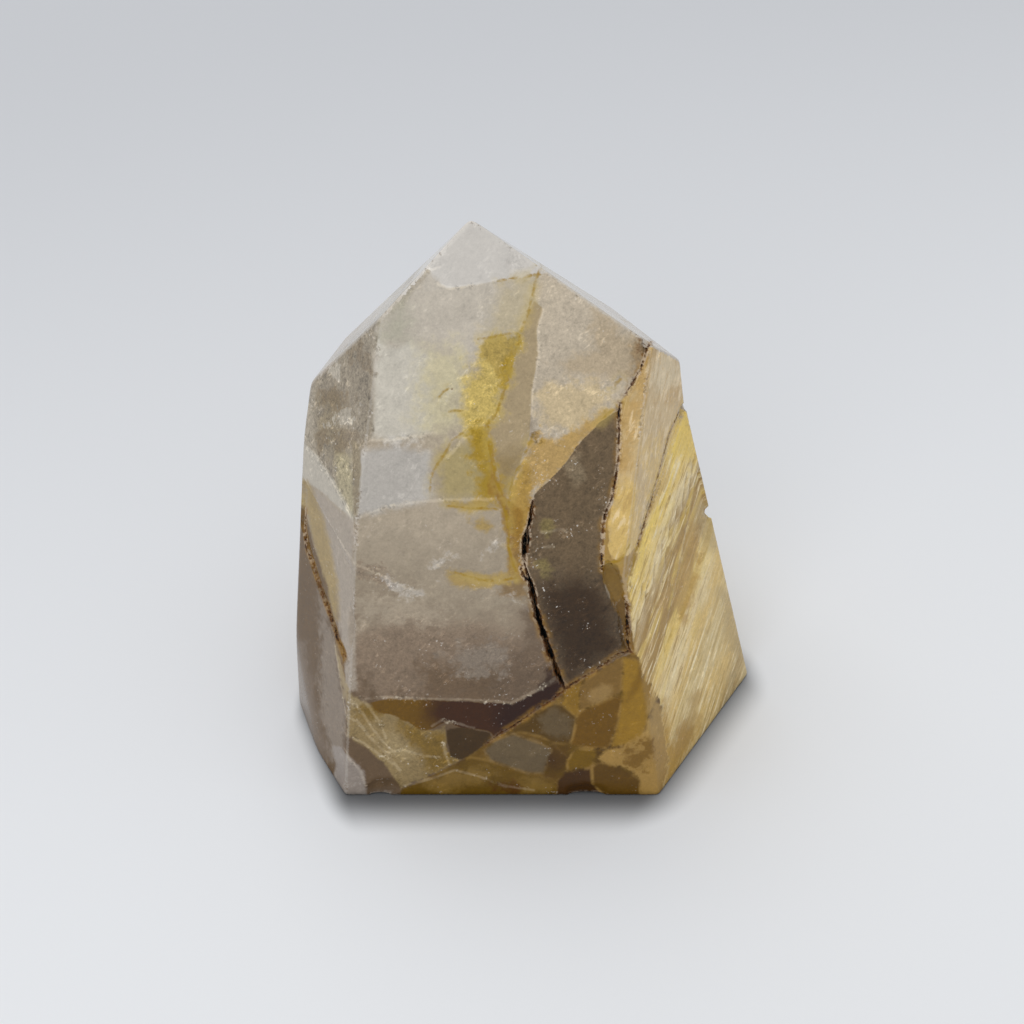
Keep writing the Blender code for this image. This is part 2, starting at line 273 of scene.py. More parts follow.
GOLD_ROUTES = {
    "tip_vein": Route("sight", [
        (542, 265, 0.19), (537, 276, 0.11), (533, 292, 0.14), (528, 314, 0.15), (521, 330, 0.17),
        (515, 357, 0.17), (506, 387, 0.19), (496, 414, 0.28), (487, 424, 0.33), (490, 445, 0.44),
        (493, 462, 0.44), (498, 484, 0.33), (503, 503, 0.3), (508, 520, 0.28), (508, 546, 0.22),
        (514, 567, 0.17), (518, 577, 0.17),
    ]),
    "cap_vein": Route("sight", [(540, 274, 0.11), (520, 277, 0.08), (497, 281, 0.05)]),
    "stain_edge": Route("sight", [(478, 339, 0.05), (497, 336, 0.08), (520, 331, 0.11)]),
    "curved_vein": Route("sight", [
        (463, 433, 0.11), (452, 440, 0.14), (444, 455, 0.14), (436, 466, 0.17), (431, 478, 0.07),
        (430, 492, 0.05),
    ]),
    "pane_vein": Route("sight", [(447, 506, 0.06), (470, 508, 0.11), (497, 509, 0.14)]),
    "low_vein": Route("sight", [(455, 572, 0.06), (480, 580, 0.17), (500, 581, 0.22), (517, 577, 0.22)]),
    "wedge_vein": Route("sight", [
        (533, 436, 0.17), (528, 447, 0.14), (521, 463, 0.17), (513, 480, 0.19), (510, 494, 0.17),
        (509, 505, 0.17),
    ]),
    "orange_spots": Route("sight", [(621, 379, 0.14), (614, 387, 0.28), (612, 389, 0.11)]),
    "band_vein": Route("sight", [(622, 402, 0.11), (608, 414, 0.22), (598, 425, 0.17)]),
    "seam_vein": Route("sight", [
        (683, 404, 0.22), (669, 433, 0.17), (658, 475, 0.17), (645, 512, 0.17), (637, 545, 0.19),
        (630, 585, 0.22),
    ]),
    "pocket_vein": Route("sight", [
        (607, 562, 0.11), (616, 562, 0.22), (624, 556, 0.17), (630, 545, 0.11),
    ]),
    "back_vein": Route("back", [
        (12.0, 36.0, 0.28), (7.0, 30.0, 0.33), (-3.4, 20.0, 0.39), (-7.0, 12.0, 0.22), (-11.0, 8.0, 0.17),
    ]),
    "left_back_vein": Route("left_back", [
        (16.0, 30.0, 0.28), (6.0, 33.0, 0.28), (-2.0, 35.0, 0.22), (-8.0, 40.0, 0.17),
    ]),
    "tip_back_vein": Route("right_back_tip", [(-9.0, 79.0, 0.17), (-4.0, 76.0, 0.22), (0.0, 69.0, 0.22)]),
    "stain_nick": Route("sight", [(464, 377, 0.06), (468, 372, 0.06), (471, 367, 0.06)]),
    "stain_arc": Route("sight", [(439, 398, 0.06), (443, 392, 0.06), (449, 389, 0.06)]),
    "stain_dash": Route("sight", [(449, 412, 0.06), (456, 410, 0.06), (463, 411, 0.06)]),
}
PALE_ROUTES = {
    "cap_edge": Route("sight", [(425, 272, 0.08), (440, 267, 0.04)]),
    "cap_foot": Route("sight", [(438, 284, 0.08), (450, 288, 0.12), (473, 285, 0.12), (500, 280, 0.08)]),
    "wedge_edge": Route("sight", [
        (543, 310, 0.08), (537, 330, 0.08), (539, 354, 0.1), (533, 387, 0.1), (531, 414, 0.06),
    ]),
    "shelf_line": Route("sight", [
        (361, 517, 0.06), (375, 511, 0.1), (388, 507, 0.08), (417, 502, 0.11), (446, 500, 0.1),
        (496, 499, 0.13),
    ]),
    "sparkle_line": Route("sight", [
        (372, 440, 0.05), (392, 440, 0.1), (412, 437, 0.15), (436, 433, 0.1),
    ]),
    "arc": Route("sight", [(465, 438, 0.15), (455, 448, 0.2), (447, 458, 0.15)]),
    "left_diagonal": Route("sight", [
        (305, 480, 0.15), (315, 500, 0.15), (335, 533, 0.17), (354, 563, 0.15),
    ]),
    "upper_diagonal": Route("sight", [
        (305, 438, 0.1), (320, 462, 0.15), (336, 490, 0.12), (352, 520, 0.15),
    ]),
    "lip_edge": Route("sight", [
        (366, 699, 0.2), (380, 697, 0.3), (396, 698, 0.2), (430, 699, 0.16), (470, 700, 0.2),
        (512, 703, 0.25),
    ]),
    "lip_rise": Route("sight", [(512, 703, 0.3), (530, 694, 0.25), (545, 686, 0.2), (556, 678, 0.15)]),
    "low_web_one": Route("sight", [
        (346, 716, 0.2), (358, 722, 0.12), (368, 735, 0.12), (385, 752, 0.16), (400, 770, 0.16),
    ]),
    "low_web_two": Route("sight", [
        (346, 735, 0.16), (362, 742, 0.12), (380, 755, 0.12), (394, 764, 0.2),
    ]),
    "low_web_three": Route("sight", [
        (360, 697, 0.16), (370, 708, 0.12), (380, 723, 0.08), (386, 738, 0.05),
    ]),
    "low_web_four": Route("sight", [
        (388, 752, 0.12), (404, 750, 0.1), (424, 756, 0.12), (440, 757, 0.04),
    ]),
    "triangle_web": Route("sight", [
        (432, 726, 0.08), (442, 720, 0.12), (460, 724, 0.06), (474, 728, 0.04),
    ]),
    "triangle_foot": Route("sight", [(443, 742, 0.12), (446, 755, 0.16), (449, 764, 0.16)]),
    "corner_edge": Route("sight", [
        (344, 748, 0.12), (350, 760, 0.1), (360, 770, 0.12), (366, 785, 0.12),
    ]),
    "left_rim": Route("sight", [(333, 636, 0.12), (338, 664, 0.12), (342, 694, 0.14), (346, 714, 0.16)]),
    "scratch_one": Route("sight", [(541, 532, 0.1), (552, 531, 0.1), (562, 529, 0.1), (567, 532, 0.1)]),
    "scratch_two": Route("sight", [(535, 547, 0.1), (545, 547, 0.1), (553, 546, 0.1)]),
    "back_line": Route("back", [(-12.0, 30.0, 0.2), (0.0, 33.5, 0.25), (14.0, 31.0, 0.2)]),
    "left_back_line": Route("left_back", [(-10.0, 12.0, 0.3), (2.0, 17.0, 0.25), (15.0, 14.0, 0.3)]),
    "left_fracture": Route("sight", [
        (355, 564, 0.08), (365, 568, 0.08), (378, 574, 0.08), (393, 581, 0.08), (404, 587, 0.06),
        (414, 590, 0.05),
    ]),
    "web_vein": Route("sight", [
        (352, 700, 0.1), (362, 712, 0.1), (372, 728, 0.08), (383, 742, 0.1), (394, 752, 0.12),
    ]),
    "amber_foot_light": Route("sight", [
        (404, 786, 0.06), (430, 779, 0.08), (455, 770, 0.1), (478, 776, 0.08), (505, 786, 0.1),
        (534, 790, 0.08),
    ]),
}
# How far apart the points of a route are set before they are followed, in mm.
ROUTE_STEP = 0.12


def on_surface(surface, places):
    """The points in mm that places stand for, on the seen side or on a facet."""
    places = np.asarray(places, float)
    if surface == "sight":
        return cast(places)
    foot, across, up = facet_axes(surface)
    return foot + places[:, :1] * across + places[:, 1:2] * up


def filled_in(rows, step):
    """Rows of numbers with more rows between them, so that the first two values step evenly."""
    rows = np.asarray(rows, float)
    runs = np.hypot(*np.diff(rows[:, :2], axis=0).T)
    ends = np.concatenate([[0.0], np.cumsum(runs)])
    stations = np.linspace(0.0, ends[-1], max(2, int(ends[-1] / step) + 1))
    return np.column_stack([np.interp(stations, ends, column) for column in rows.T])


def route_object(name, routes):
    """One edge mesh in mm that holds some routes, with the width and the depth of each point."""
    points = []
    edges = []
    widths = []
    depths = []
    for surface, rows, depth in routes.values():
        step = ROUTE_STEP * (STEPS_PER_MM if surface == "sight" else 1.0)
        dense = filled_in(rows, step)
        placed = on_surface(surface, dense[:, :2])
        on_stone = np.isfinite(placed).all(axis=1)
        placed = placed[on_stone]
        dense = dense[on_stone]
        edges += [(len(points) + index, len(points) + index + 1) for index in range(len(placed) - 1)]
        points += placed.tolist()
        widths += dense[:, 2].tolist()
        depths += [depth] * len(placed)
    mesh = bpy.data.meshes.new(name)
    mesh.from_pydata(points, edges, [])
    for attribute, values in (("width", widths), ("depth", depths)):
        mesh.attributes.new(attribute, "FLOAT", "POINT").data.foreach_set("value", values)
    return linked(bpy.data.objects.new(name, mesh))


# ------------------------------------------------------------------ the zones of the stone

# Colours of the stone as they look in plain light, as red, green and blue from 0 to 255.
TONES = {
    # The cap, the body and its foot.
    "milk": (197, 193, 188), "haze": (186, 178, 166), "haze_warm": (180, 168, 142),
    "haze_green": (169, 165, 150), "cloud": (165, 153, 136), "body_mid": (170, 158, 142),
    "body_dusk": (150, 138, 121), "body_low": (130, 114, 98), "body_foot": (100, 83, 66),
    "low_veil": (132, 122, 111), "foot_dusk": (104, 89, 75),
    # The panes and the wedge.
    "pane": (193, 188, 177), "pane_straw": (190, 181, 153), "lilac_pane": (174, 170, 165),
    "olive_pane": (161, 146, 104), "wedge": (162, 145, 116), "wedge_tip": (138, 118, 80),
    # The field right of the wedge.
    "beige": (184, 172, 154), "dusky_beige": (172, 156, 132), "warm_beige": (190, 172, 139),
    "amber_beige": (172, 142, 88), "ochre": (163, 132, 70), "shoulder_dusk": (148, 127, 98),
    # Stains and veins.
    "gold": (189, 167, 98), "olive_gold": (166, 144, 84), "deep_gold": (153, 124, 38),
    "trail_gold": (160, 136, 84), "vein_gold": (140, 108, 54), "vein_foot": (128, 106, 76),
    "rust_gold": (150, 114, 52), "rust": (92, 60, 30),
    # The smoky window and its pocket.
    "smoke": (106, 91, 73), "deep_smoke": (64, 52, 42), "window_haze": (138, 124, 102),
    "window_moss": (130, 118, 76), "pocket_olive": (124, 99, 56), "pocket_dusk": (112, 87, 50),
    "seam_fill": (160, 130, 76),
    # The lip, the web and the triangle.
    "olive_lip": (103, 77, 23), "brown_lip": (66, 46, 22), "plum_lip": (54, 40, 31),
    "web": (135, 117, 84), "web_pale": (150, 133, 100), "web_gold": (117, 94, 48),
    "triangle": (66, 52, 37),
    # The amber foot and its cells.
    "amber": (101, 77, 40), "amber_pale": (134, 107, 60), "cell_low": (98, 76, 36),
    "cell_sand": (122, 98, 54), "cell_rusty": (84, 58, 28), "cell_olive": (83, 64, 35),
    "cell_grey": (100, 87, 68), "cell_umber": (79, 59, 28), "cell_tan": (120, 94, 54),
    "cell_pale": (142, 116, 74), "cell_brown": (104, 77, 35), "cell_gold": (142, 110, 47),
    "cell_light": (163, 134, 82), "cell_moss": (110, 85, 28), "cell_corner": (154, 124, 72),
    "cell_dark": (70, 51, 27), "cell_oval": (92, 69, 30),
    # The side crystal.
    "flank_gold": (197, 174, 118), "flank_lemon": (205, 181, 108), "flank_cream": (200, 184, 148),
    "flank_pale": (214, 200, 170), "flank_grey": (168, 150, 120), "flank_brown": (146, 122, 84),
    "flank_tan": (160, 136, 98), "flank_honey": (186, 162, 112), "flank_beige": (181, 164, 126),
    "flank_dusk": (160, 143, 110), "flank_foot": (150, 121, 72), "flank_streak": (160, 134, 92),
    "flank_sun": (196, 172, 104),
    # The paler band.
    "band_beige": (182, 164, 134), "band_gold": (188, 166, 122), "band_dusk": (170, 148, 116),
    "band_pale": (205, 189, 162), "band_top": (187, 174, 150),
    # The left side and its slope.
    "left_grey": (124, 113, 103), "left_dusk": (112, 98, 84), "left_pale": (163, 154, 144),
    "left_straw": (158, 141, 108), "left_cloud": (137, 127, 117), "tip_grey": (150, 141, 127),
    "tip_pale": (180, 174, 163), "tip_dusk": (142, 131, 112), "tip_dark": (116, 102, 84),
    "moss": (167, 157, 128), "corner_pale": (141, 132, 125),
    # Cracks and their rims.
    "pale_rim": (206, 196, 176), "rose_rim": (188, 170, 148), "crack_black": (22, 15, 10),
}


class Zone(NamedTuple):
    """A part of the stone with a tone of its own."""

    tone: str
    fade: float
    ragged: float
    cover: float
    outlines: list
    within: str = ""
    wall: float = 0.0
    elsewhere: dict | None = None


# Zones in the order that they are painted in. The fade and the raggedness of an edge are in mm, and
# cover is how strongly the tone lies on. The outlines are on the seen side, in frame places, and
# elsewhere holds outlines on facets. Within is a zone that this one stays inside, and wall is how
# strongly its edge shows as a paler wall.
ZONES = {
    "upper_haze": Zone("haze", 3.0, 1.5, 0.8, [
        [(380, 316), (440, 265), (548, 262), (524, 330), (475, 345), (380, 335)],
    ]),
    "cap_notch": Zone("haze", 0.5, 0.7, 0.9, [
        [(360, 345), (395, 296), (426, 270), (434, 277), (441, 285), (452, 290), (470, 300), (400, 330)],
    ]),
    "slope_specks": Zone("tip_dusk", 1.8, 2.0, 0.7, [
        [(330, 368), (352, 340), (392, 298), (430, 256), (440, 256), (404, 300), (378, 328), (340, 362)],
        [(507, 247), (513, 246), (521, 262), (516, 271), (509, 262)],
    ]),
    "vein_haze": Zone("haze_warm", 4.0, 2.0, 0.85, [
        [(500, 290), (530, 268), (560, 272), (556, 300), (540, 340), (492, 345), (488, 320)],
    ]),
    "green_haze": Zone("haze_green", 4.5, 2.5, 0.9, [
        [(384, 316), (402, 300), (412, 322), (408, 345), (392, 346), (380, 340)],
    ]),
    "pane": Zone("pane", 1.6, 0.8, 0.9, [
        [
            (377, 346), (400, 343), (432, 352), (440, 385), (436, 420), (430, 434), (400, 441),
            (372, 436), (373, 390),
        ],
    ]),
    "pane_straw": Zone("pane_straw", 5.0, 3.0, 1.0, [
        [(428, 352), (462, 352), (474, 372), (468, 400), (466, 428), (440, 438), (422, 430), (418, 390)],
    ]),
    "lilac_pane": Zone("lilac_pane", 1.6, 0.8, 0.9, [
        [(350, 455), (400, 446), (430, 452), (434, 497), (417, 504), (388, 509), (350, 520)],
    ]),
    "olive_pane": Zone("olive_pane", 3.0, 1.2, 0.9, [
        [(440, 452), (460, 440), (480, 436), (492, 460), (498, 499), (446, 501), (436, 484)],
    ]),
    "wedge": Zone("wedge", 0.25, 0.2, 0.95, [
        [
            (534, 301), (544, 308), (537, 330), (539, 354), (533, 387), (531, 414), (530, 436),
            (524, 452), (514, 480), (509, 495), (503, 494), (496, 462), (490, 440), (489, 424),
            (497, 413), (507, 387), (516, 357), (522, 330),
        ],
    ]),
    "wedge_tip": Zone("wedge_tip", 4.0, 1.0, 0.9, [
        [(492, 455), (524, 452), (514, 480), (509, 497), (503, 497), (497, 480)],
    ], within="wedge"),
    "field": Zone("beige", 0.35, 0.3, 0.95, [
        [
            (545, 262), (656, 343), (646, 356), (640, 370), (627, 391), (612, 412), (580, 445),
            (555, 477), (534, 495), (530, 530), (524, 560), (516, 570), (510, 545), (509, 500),
            (515, 480), (526, 450), (531, 430), (532, 390), (539, 354), (537, 330), (543, 310),
            (534, 296),
        ],
    ]),
    "dusky_field": Zone("dusky_beige", 2.5, 2.0, 0.9, [
        [(597, 315), (650, 345), (644, 362), (632, 382), (600, 378), (566, 372), (556, 362), (588, 350)],
    ], within="field"),
    "shoulder_dusk": Zone("shoulder_dusk", 1.6, 1.6, 0.85, [
        [(630, 346), (646, 334), (660, 350), (650, 368), (638, 386), (626, 396), (632, 372)],
    ]),
    "shoulder_rust": Zone("rust", 1.3, 2.2, 0.85, [
        [(640, 339), (650, 333), (659, 344), (653, 357), (643, 357)],
    ]),
    "warm_field": Zone("warm_beige", 2.5, 2.5, 0.95, [
        [(540, 382), (575, 384), (600, 386), (612, 398), (600, 416), (575, 436), (548, 430), (535, 425)],
    ], within="field"),
    "amber_field": Zone("amber_beige", 1.6, 1.8, 0.95, [
        [(531, 440), (558, 438), (576, 430), (604, 412), (614, 410), (566, 465), (534, 498)],
        [
            (525, 438), (560, 438), (548, 470), (534, 498), (529, 545), (519, 568), (511, 530),
            (510, 500), (516, 470),
        ],
    ], within="field"),
    "rusty_field": Zone("ochre", 0.9, 1.4, 0.85, [
        [(522, 462), (534, 470), (532, 496), (527, 520), (519, 560), (512, 530), (511, 500)],
        [(529, 428), (540, 424), (546, 434), (538, 446), (528, 444)],
    ], within="field"),
    "dark_pit": Zone("crack_black", 0.3, 0.5, 0.9, [
        [(534, 440), (540, 439), (541, 443), (534, 444)],
    ]),
    "gold_field": Zone("gold", 2.8, 1.8, 0.95, [
        [
            (478, 344), (521, 331), (514, 358), (506, 388), (496, 414), (489, 426), (484, 440),
            (466, 436), (462, 415), (464, 385), (474, 360),
        ],
    ]),
    "olive_gold_field": Zone("olive_gold", 0.8, 1.4, 0.9, [
        [(484, 340), (522, 331), (516, 357), (507, 388), (500, 394), (498, 372), (490, 362), (478, 356)],
    ]),
    "deep_gold_field": Zone("deep_gold", 2.0, 2.0, 0.85, [
        [(470, 432), (489, 424), (496, 462), (501, 486), (500, 508), (484, 506), (480, 478), (472, 455)],
        [(507, 352), (516, 345), (508, 382), (501, 392)],
    ]),
    "golden_vein": Zone("vein_gold", 0.7, 0.8, 0.9, [
        [
            (491, 462), (499, 480), (507, 498), (514, 508), (522, 514), (524, 534), (522, 560),
            (522, 584), (508, 576), (506, 545), (500, 510), (490, 490),
        ],
    ]),
    "vein_foot": Zone("vein_foot", 1.2, 1.2, 0.9, [
        [(500, 583), (522, 577), (530, 590), (532, 602), (512, 600), (496, 596)],
    ]),
    "gold_trails": Zone("trail_gold", 1.0, 1.0, 0.85, [
        [(446, 502), (500, 500), (503, 510), (478, 510), (450, 508)],
        [(440, 566), (480, 574), (515, 572), (517, 582), (480, 588), (452, 582)],
        [(470, 522), (482, 519), (493, 524), (488, 533), (478, 529)],
    ]),
    "gold_nick": Zone("rust", 0.2, 0.0, 1.0, [
        [(451, 388), (453, 388), (453, 390), (451, 390)],
    ]),
    "low_cloud": Zone("body_low", 3.5, 3.0, 0.75, [
        [(360, 628), (420, 616), (500, 640), (548, 650), (556, 676), (512, 702), (366, 698), (352, 660)],
    ]),
    "dark_cloud": Zone("body_foot", 3.0, 3.0, 0.8, [
        [(424, 662), (470, 664), (520, 672), (556, 680), (512, 704), (426, 702)],
    ]),
    "upper_veil": Zone("cloud", 2.5, 2.5, 0.6, [
        [(352, 596), (400, 600), (450, 610), (440, 622), (400, 620), (356, 628)],
        [(478, 545), (498, 536), (506, 540), (496, 552)],
    ]),
    "fracture_specks": Zone("body_low", 1.0, 2.4, 0.6, [
        [(355, 562), (376, 570), (396, 582), (380, 586), (358, 578)],
    ]),
    "foot_dusk": Zone("foot_dusk", 3.0, 2.2, 0.85, [
        [(520, 612), (536, 604), (566, 690), (540, 700), (512, 704), (492, 690), (505, 650), (528, 640)],
    ]),
    "low_veil": Zone("low_veil", 2.0, 3.0, 0.75, [
        [(444, 655), (480, 642), (512, 646), (500, 672), (468, 676)],
    ]),
    # Painted glints: small pale patches standing in for light glinting inside the quartz.
    "painted_sparkles": Zone("milk", 1.2, 2.2, 0.4, [
        [(384, 441), (410, 435), (428, 440), (400, 448)],
        [(432, 568), (443, 557), (454, 560), (441, 571)],
        [(480, 550), (492, 539), (506, 537), (498, 552)],
        [(500, 596), (514, 594), (522, 604), (508, 606)],
        [(386, 580), (400, 584), (416, 592), (400, 592)],
        [(440, 398), (452, 390), (448, 404)],
    ]),
    "amber_zone": Zone("amber", 0.4, 0.4, 1.0, [
        [
            (396, 800), (402, 788), (436, 773), (461, 760), (490, 740), (513, 727), (537, 710),
            (565, 691), (600, 668), (622, 656), (636, 651), (656, 656), (670, 690), (684, 715),
            (690, 740), (680, 800),
        ],
    ], elsewhere={
        "back": [
            (-15.0, -1.0), (17.0, -1.0), (17.0, 9.0), (6.0, 6.5), (-3.0, 8.0), (-11.0, 7.0),
            (-15.0, 10.0),
        ],
        "left_back": [(-15.0, -1.0), (19.0, -1.0), (18.0, 12.0), (8.0, 14.5), (-2.0, 9.0), (-14.0, 12.0)],
    }),
    "cell_strip": Zone("cell_low", 1.2, 0.8, 0.95, [
        [(470, 757), (491, 761), (528, 773), (558, 781), (558, 800), (396, 800), (402, 789), (436, 774)],
    ], within="amber_zone", wall=0.3),
    "cell_sand": Zone("cell_sand", 1.6, 1.2, 0.9, [
        [(424, 786), (450, 772), (486, 768), (500, 776), (470, 784), (446, 796)],
        [(520, 784), (540, 776), (556, 786), (545, 795), (524, 794)],
    ], within="amber_zone"),
    "cell_rusty": Zone("cell_rusty", 0.9, 1.0, 0.9, [
        [(486, 780), (505, 781), (522, 787), (516, 792), (494, 789)],
    ], within="amber_zone"),
    "cell_olive": Zone("cell_olive", 1.0, 0.4, 0.95, [
        [
            (492, 742), (513, 728), (537, 712), (553, 703), (562, 704), (577, 717), (575, 726),
            (571, 744), (551, 743), (542, 737), (520, 732),
        ],
    ], within="amber_zone", wall=0.35),
    "cell_misty": Zone("cell_grey", 1.2, 0.8, 0.75, [
        [(538, 719), (556, 708), (572, 722), (570, 738), (552, 736), (544, 730)],
    ], within="cell_olive"),
    "cell_grey": Zone("cell_grey", 0.7, 0.4, 0.95, [
        [(484, 750), (496, 740), (513, 734), (542, 744), (552, 750), (544, 773), (528, 773), (491, 761)],
    ], within="amber_zone", wall=0.3),
    "cell_umber": Zone("cell_umber", 2.0, 0.6, 0.6, [
        [(551, 745), (571, 745), (567, 757), (558, 780), (543, 779), (546, 766), (552, 756)],
    ], within="amber_zone"),
    "cell_wedge": Zone("cell_gold", 0.5, 0.3, 0.6, [
        [(565, 690), (580, 684), (579, 712), (577, 717), (562, 704)],
    ], within="amber_zone"),
    "cell_tan": Zone("cell_tan", 0.4, 0.2, 0.95, [
        [(580, 686), (600, 669), (623, 656), (622, 680), (621, 693), (600, 702), (579, 711)],
    ], within="amber_zone", wall=0.5),
    "cell_pale": Zone("cell_pale", 0.9, 0.5, 0.9, [
        [(585, 697), (596, 686), (611, 685), (612, 694), (602, 701), (594, 705)],
    ], within="amber_zone"),
    "cell_brown": Zone("cell_brown", 0.35, 0.2, 0.95, [
        [(579, 712), (600, 703), (621, 694), (621, 706), (616, 726), (609, 748), (590, 748), (571, 745)],
    ], within="amber_zone", wall=0.5),
    "cell_gold": Zone("cell_gold", 0.6, 0.3, 0.95, [
        [
            (624, 657), (642, 661), (650, 679), (656, 700), (648, 722), (642, 740), (626, 745),
            (611, 748), (619, 720), (622, 700),
        ],
    ], within="amber_zone", wall=0.3),
    "cell_fold": Zone("cell_brown", 0.9, 0.5, 0.6, [
        [(639, 668), (644, 672), (637, 690), (625, 706), (622, 702), (632, 688)],
    ], within="cell_gold"),
    "cell_light": Zone("cell_light", 0.9, 0.6, 0.9, [
        [(654, 690), (668, 715), (676, 745), (652, 746), (638, 748), (646, 722)],
    ], within="amber_zone"),
    "cell_moss": Zone("cell_moss", 0.6, 0.4, 0.95, [
        [(568, 771), (567, 761), (576, 749), (600, 750), (594, 760), (591, 768)],
    ], within="amber_zone", wall=0.5),
    "cell_corner": Zone("cell_corner", 0.8, 1.2, 0.95, [
        [
            (598, 757), (614, 746), (647, 736), (668, 737), (690, 752), (676, 790), (650, 800),
            (640, 797), (640, 780), (626, 769), (600, 764),
        ],
    ], within="amber_zone", wall=0.3),
    "cell_shadow": Zone("cell_brown", 1.2, 2.0, 0.8, [
        [(626, 748), (650, 743), (652, 760), (640, 770), (628, 764)],
    ], within="cell_corner"),
    "cell_dark": Zone("cell_dark", 0.5, 0.4, 0.95, [
        [(557, 781), (564, 772), (591, 768), (592, 783), (606, 800), (556, 800)],
    ], within="amber_zone", wall=0.5),
    "cell_oval": Zone("cell_oval", 0.5, 0.4, 0.95, [
        [(592, 766), (600, 762), (626, 770), (640, 780), (640, 800), (606, 800), (593, 785)],
    ], within="amber_zone", wall=0.6),
    "web_zone": Zone("web", 0.5, 0.6, 1.0, [
        [
            (346, 708), (364, 701), (400, 714), (430, 731), (446, 726), (447, 752), (461, 760),
            (436, 773), (412, 784), (401, 790), (388, 768), (366, 748), (346, 736),
        ],
    ]),
    "web_pale": Zone("web_pale", 2.0, 1.5, 0.85, [
        [(376, 738), (398, 735), (416, 746), (412, 762), (392, 758)],
    ], within="web_zone"),
    "web_gold": Zone("web_gold", 2.0, 1.2, 0.9, [
        [(400, 722), (430, 733), (446, 730), (447, 752), (461, 762), (430, 778), (420, 752), (404, 736)],
        [(346, 706), (372, 703), (380, 714), (366, 718)],
    ], within="web_zone"),
    "gold_lip": Zone("olive_lip", 0.25, 0.3, 1.0, [
        [
            (368, 702), (392, 699), (430, 700), (470, 701), (512, 704), (530, 696), (545, 688),
            (560, 681), (565, 691), (552, 700), (537, 710), (520, 720), (508, 731), (494, 737),
            (488, 731), (462, 727), (447, 721), (434, 728), (424, 731), (398, 717), (378, 712),
        ],
    ]),
    "brown_lip": Zone("brown_lip", 3.5, 0.8, 1.0, [
        [(432, 690), (570, 670), (580, 690), (500, 745), (446, 738), (424, 716)],
    ], within="gold_lip"),
    "plum_lip": Zone("plum_lip", 2.5, 0.9, 1.0, [
        [(500, 700), (560, 670), (576, 690), (505, 742), (494, 720)],
    ], within="gold_lip"),
    "corner_shade": Zone("plum_lip", 0.7, 0.6, 0.8, [
        [(537, 692), (549, 666), (557, 668), (566, 690), (556, 700), (540, 704)],
    ]),
    "triangle": Zone("triangle", 0.3, 0.2, 0.95, [
        [(446, 728), (462, 728), (490, 732), (492, 739), (476, 751), (461, 760), (451, 757), (447, 742)],
    ]),
    "seam_fill": Zone("seam_fill", 0.5, 0.5, 0.95, [
        [(600, 516), (612, 506), (622, 552), (640, 540), (642, 562), (636, 650), (624, 612), (602, 566)],
    ]),
    "flank_zone": Zone("flank_gold", 0.6, 0.8, 1.0, [
        [
            (684, 396), (672, 429), (662, 462), (652, 492), (643, 520), (636, 548), (630, 585),
            (630, 620), (632, 648), (636, 651), (642, 662), (647, 678), (655, 692), (661, 706),
            (662, 726), (670, 745), (668, 772), (660, 800), (800, 800), (800, 380), (690, 380),
        ],
    ], elsewhere={
        "right_back": [
            (-20.0, -1.0), (-13.5, 41.5), (-6.0, 38.0), (2.0, 31.0), (9.0, 27.5), (14.0, -1.0),
        ],
    }),
    "flank_foot": Zone("flank_foot", 2.2, 1.2, 0.85, [
        [
            (650, 690), (656, 730), (664, 700), (672, 745), (684, 720), (696, 728), (690, 756),
            (660, 796), (646, 760),
        ],
    ], within="flank_zone"),
    "flank_wedge": Zone("flank_brown", 0.9, 0.8, 0.55, [
        [(672, 736), (680, 722), (694, 708), (700, 716), (690, 742), (676, 758)],
        [(690, 700), (697, 690), (700, 694), (694, 712), (690, 714)],
    ], within="flank_zone"),
    "flank_streak": Zone("flank_streak", 1.6, 1.8, 0.75, [
        [(672, 600), (678, 556), (690, 518), (702, 526), (698, 576), (684, 624)],
    ], within="flank_zone"),
    "flank_rim": Zone("flank_dusk", 1.6, 1.2, 0.7, [
        [(718, 590), (740, 590), (750, 660), (728, 652)],
        [(700, 500), (716, 512), (724, 552), (706, 552), (698, 520)],
    ], within="flank_zone"),
    "flank_sun": Zone("flank_sun", 1.6, 1.2, 0.8, [
        [(682, 400), (692, 402), (702, 432), (692, 470), (678, 450)],
    ], within="flank_zone"),
    "band_zone": Zone("band_beige", 0.25, 0.25, 0.97, [
        [
            (652, 338), (678, 352), (700, 380), (684, 396), (672, 429), (662, 462), (652, 492),
            (643, 520), (636, 545), (628, 555), (618, 561), (611, 559), (608, 545), (608, 524),
            (613, 502), (617, 478), (619, 450), (620, 407), (627, 391), (640, 370), (647, 352),
        ],
    ]),
    "band_dusk": Zone("band_dusk", 1.6, 1.5, 0.8, [
        [(667, 388), (678, 380), (684, 386), (678, 404), (664, 402)],
        [(652, 340), (664, 348), (654, 366), (648, 392), (636, 400), (630, 392), (642, 368)],
        [(622, 400), (636, 392), (640, 420), (630, 470), (619, 470)],
    ], within="band_zone"),
    "band_top": Zone("band_top", 1.4, 1.2, 0.9, [
        [(655, 362), (668, 353), (683, 370), (680, 380), (668, 388), (657, 394), (651, 380)],
    ], within="band_zone"),
    "band_gold": Zone("band_gold", 2.6, 2.2, 0.85, [
        [(600, 522), (612, 490), (640, 478), (646, 528), (640, 560), (616, 568), (600, 560)],
        [(650, 440), (668, 430), (658, 470), (648, 500), (642, 500)],
    ], within="band_zone"),
    "smoke_window": Zone("smoke", 0.16, 0.2, 1.0, [
        [
            (617, 411), (600, 423), (580, 442), (566, 463), (552, 478), (534, 494), (530, 530),
            (525, 572), (535, 600), (548, 640), (560, 676), (570, 686), (600, 667), (631, 652),
            (625, 625), (612, 604), (603, 582), (602, 560), (603, 530), (612, 500), (617, 478),
            (619, 450), (620, 412),
        ],
    ]),
    "deep_window": Zone("deep_smoke", 5.0, 1.6, 1.0, [
        [
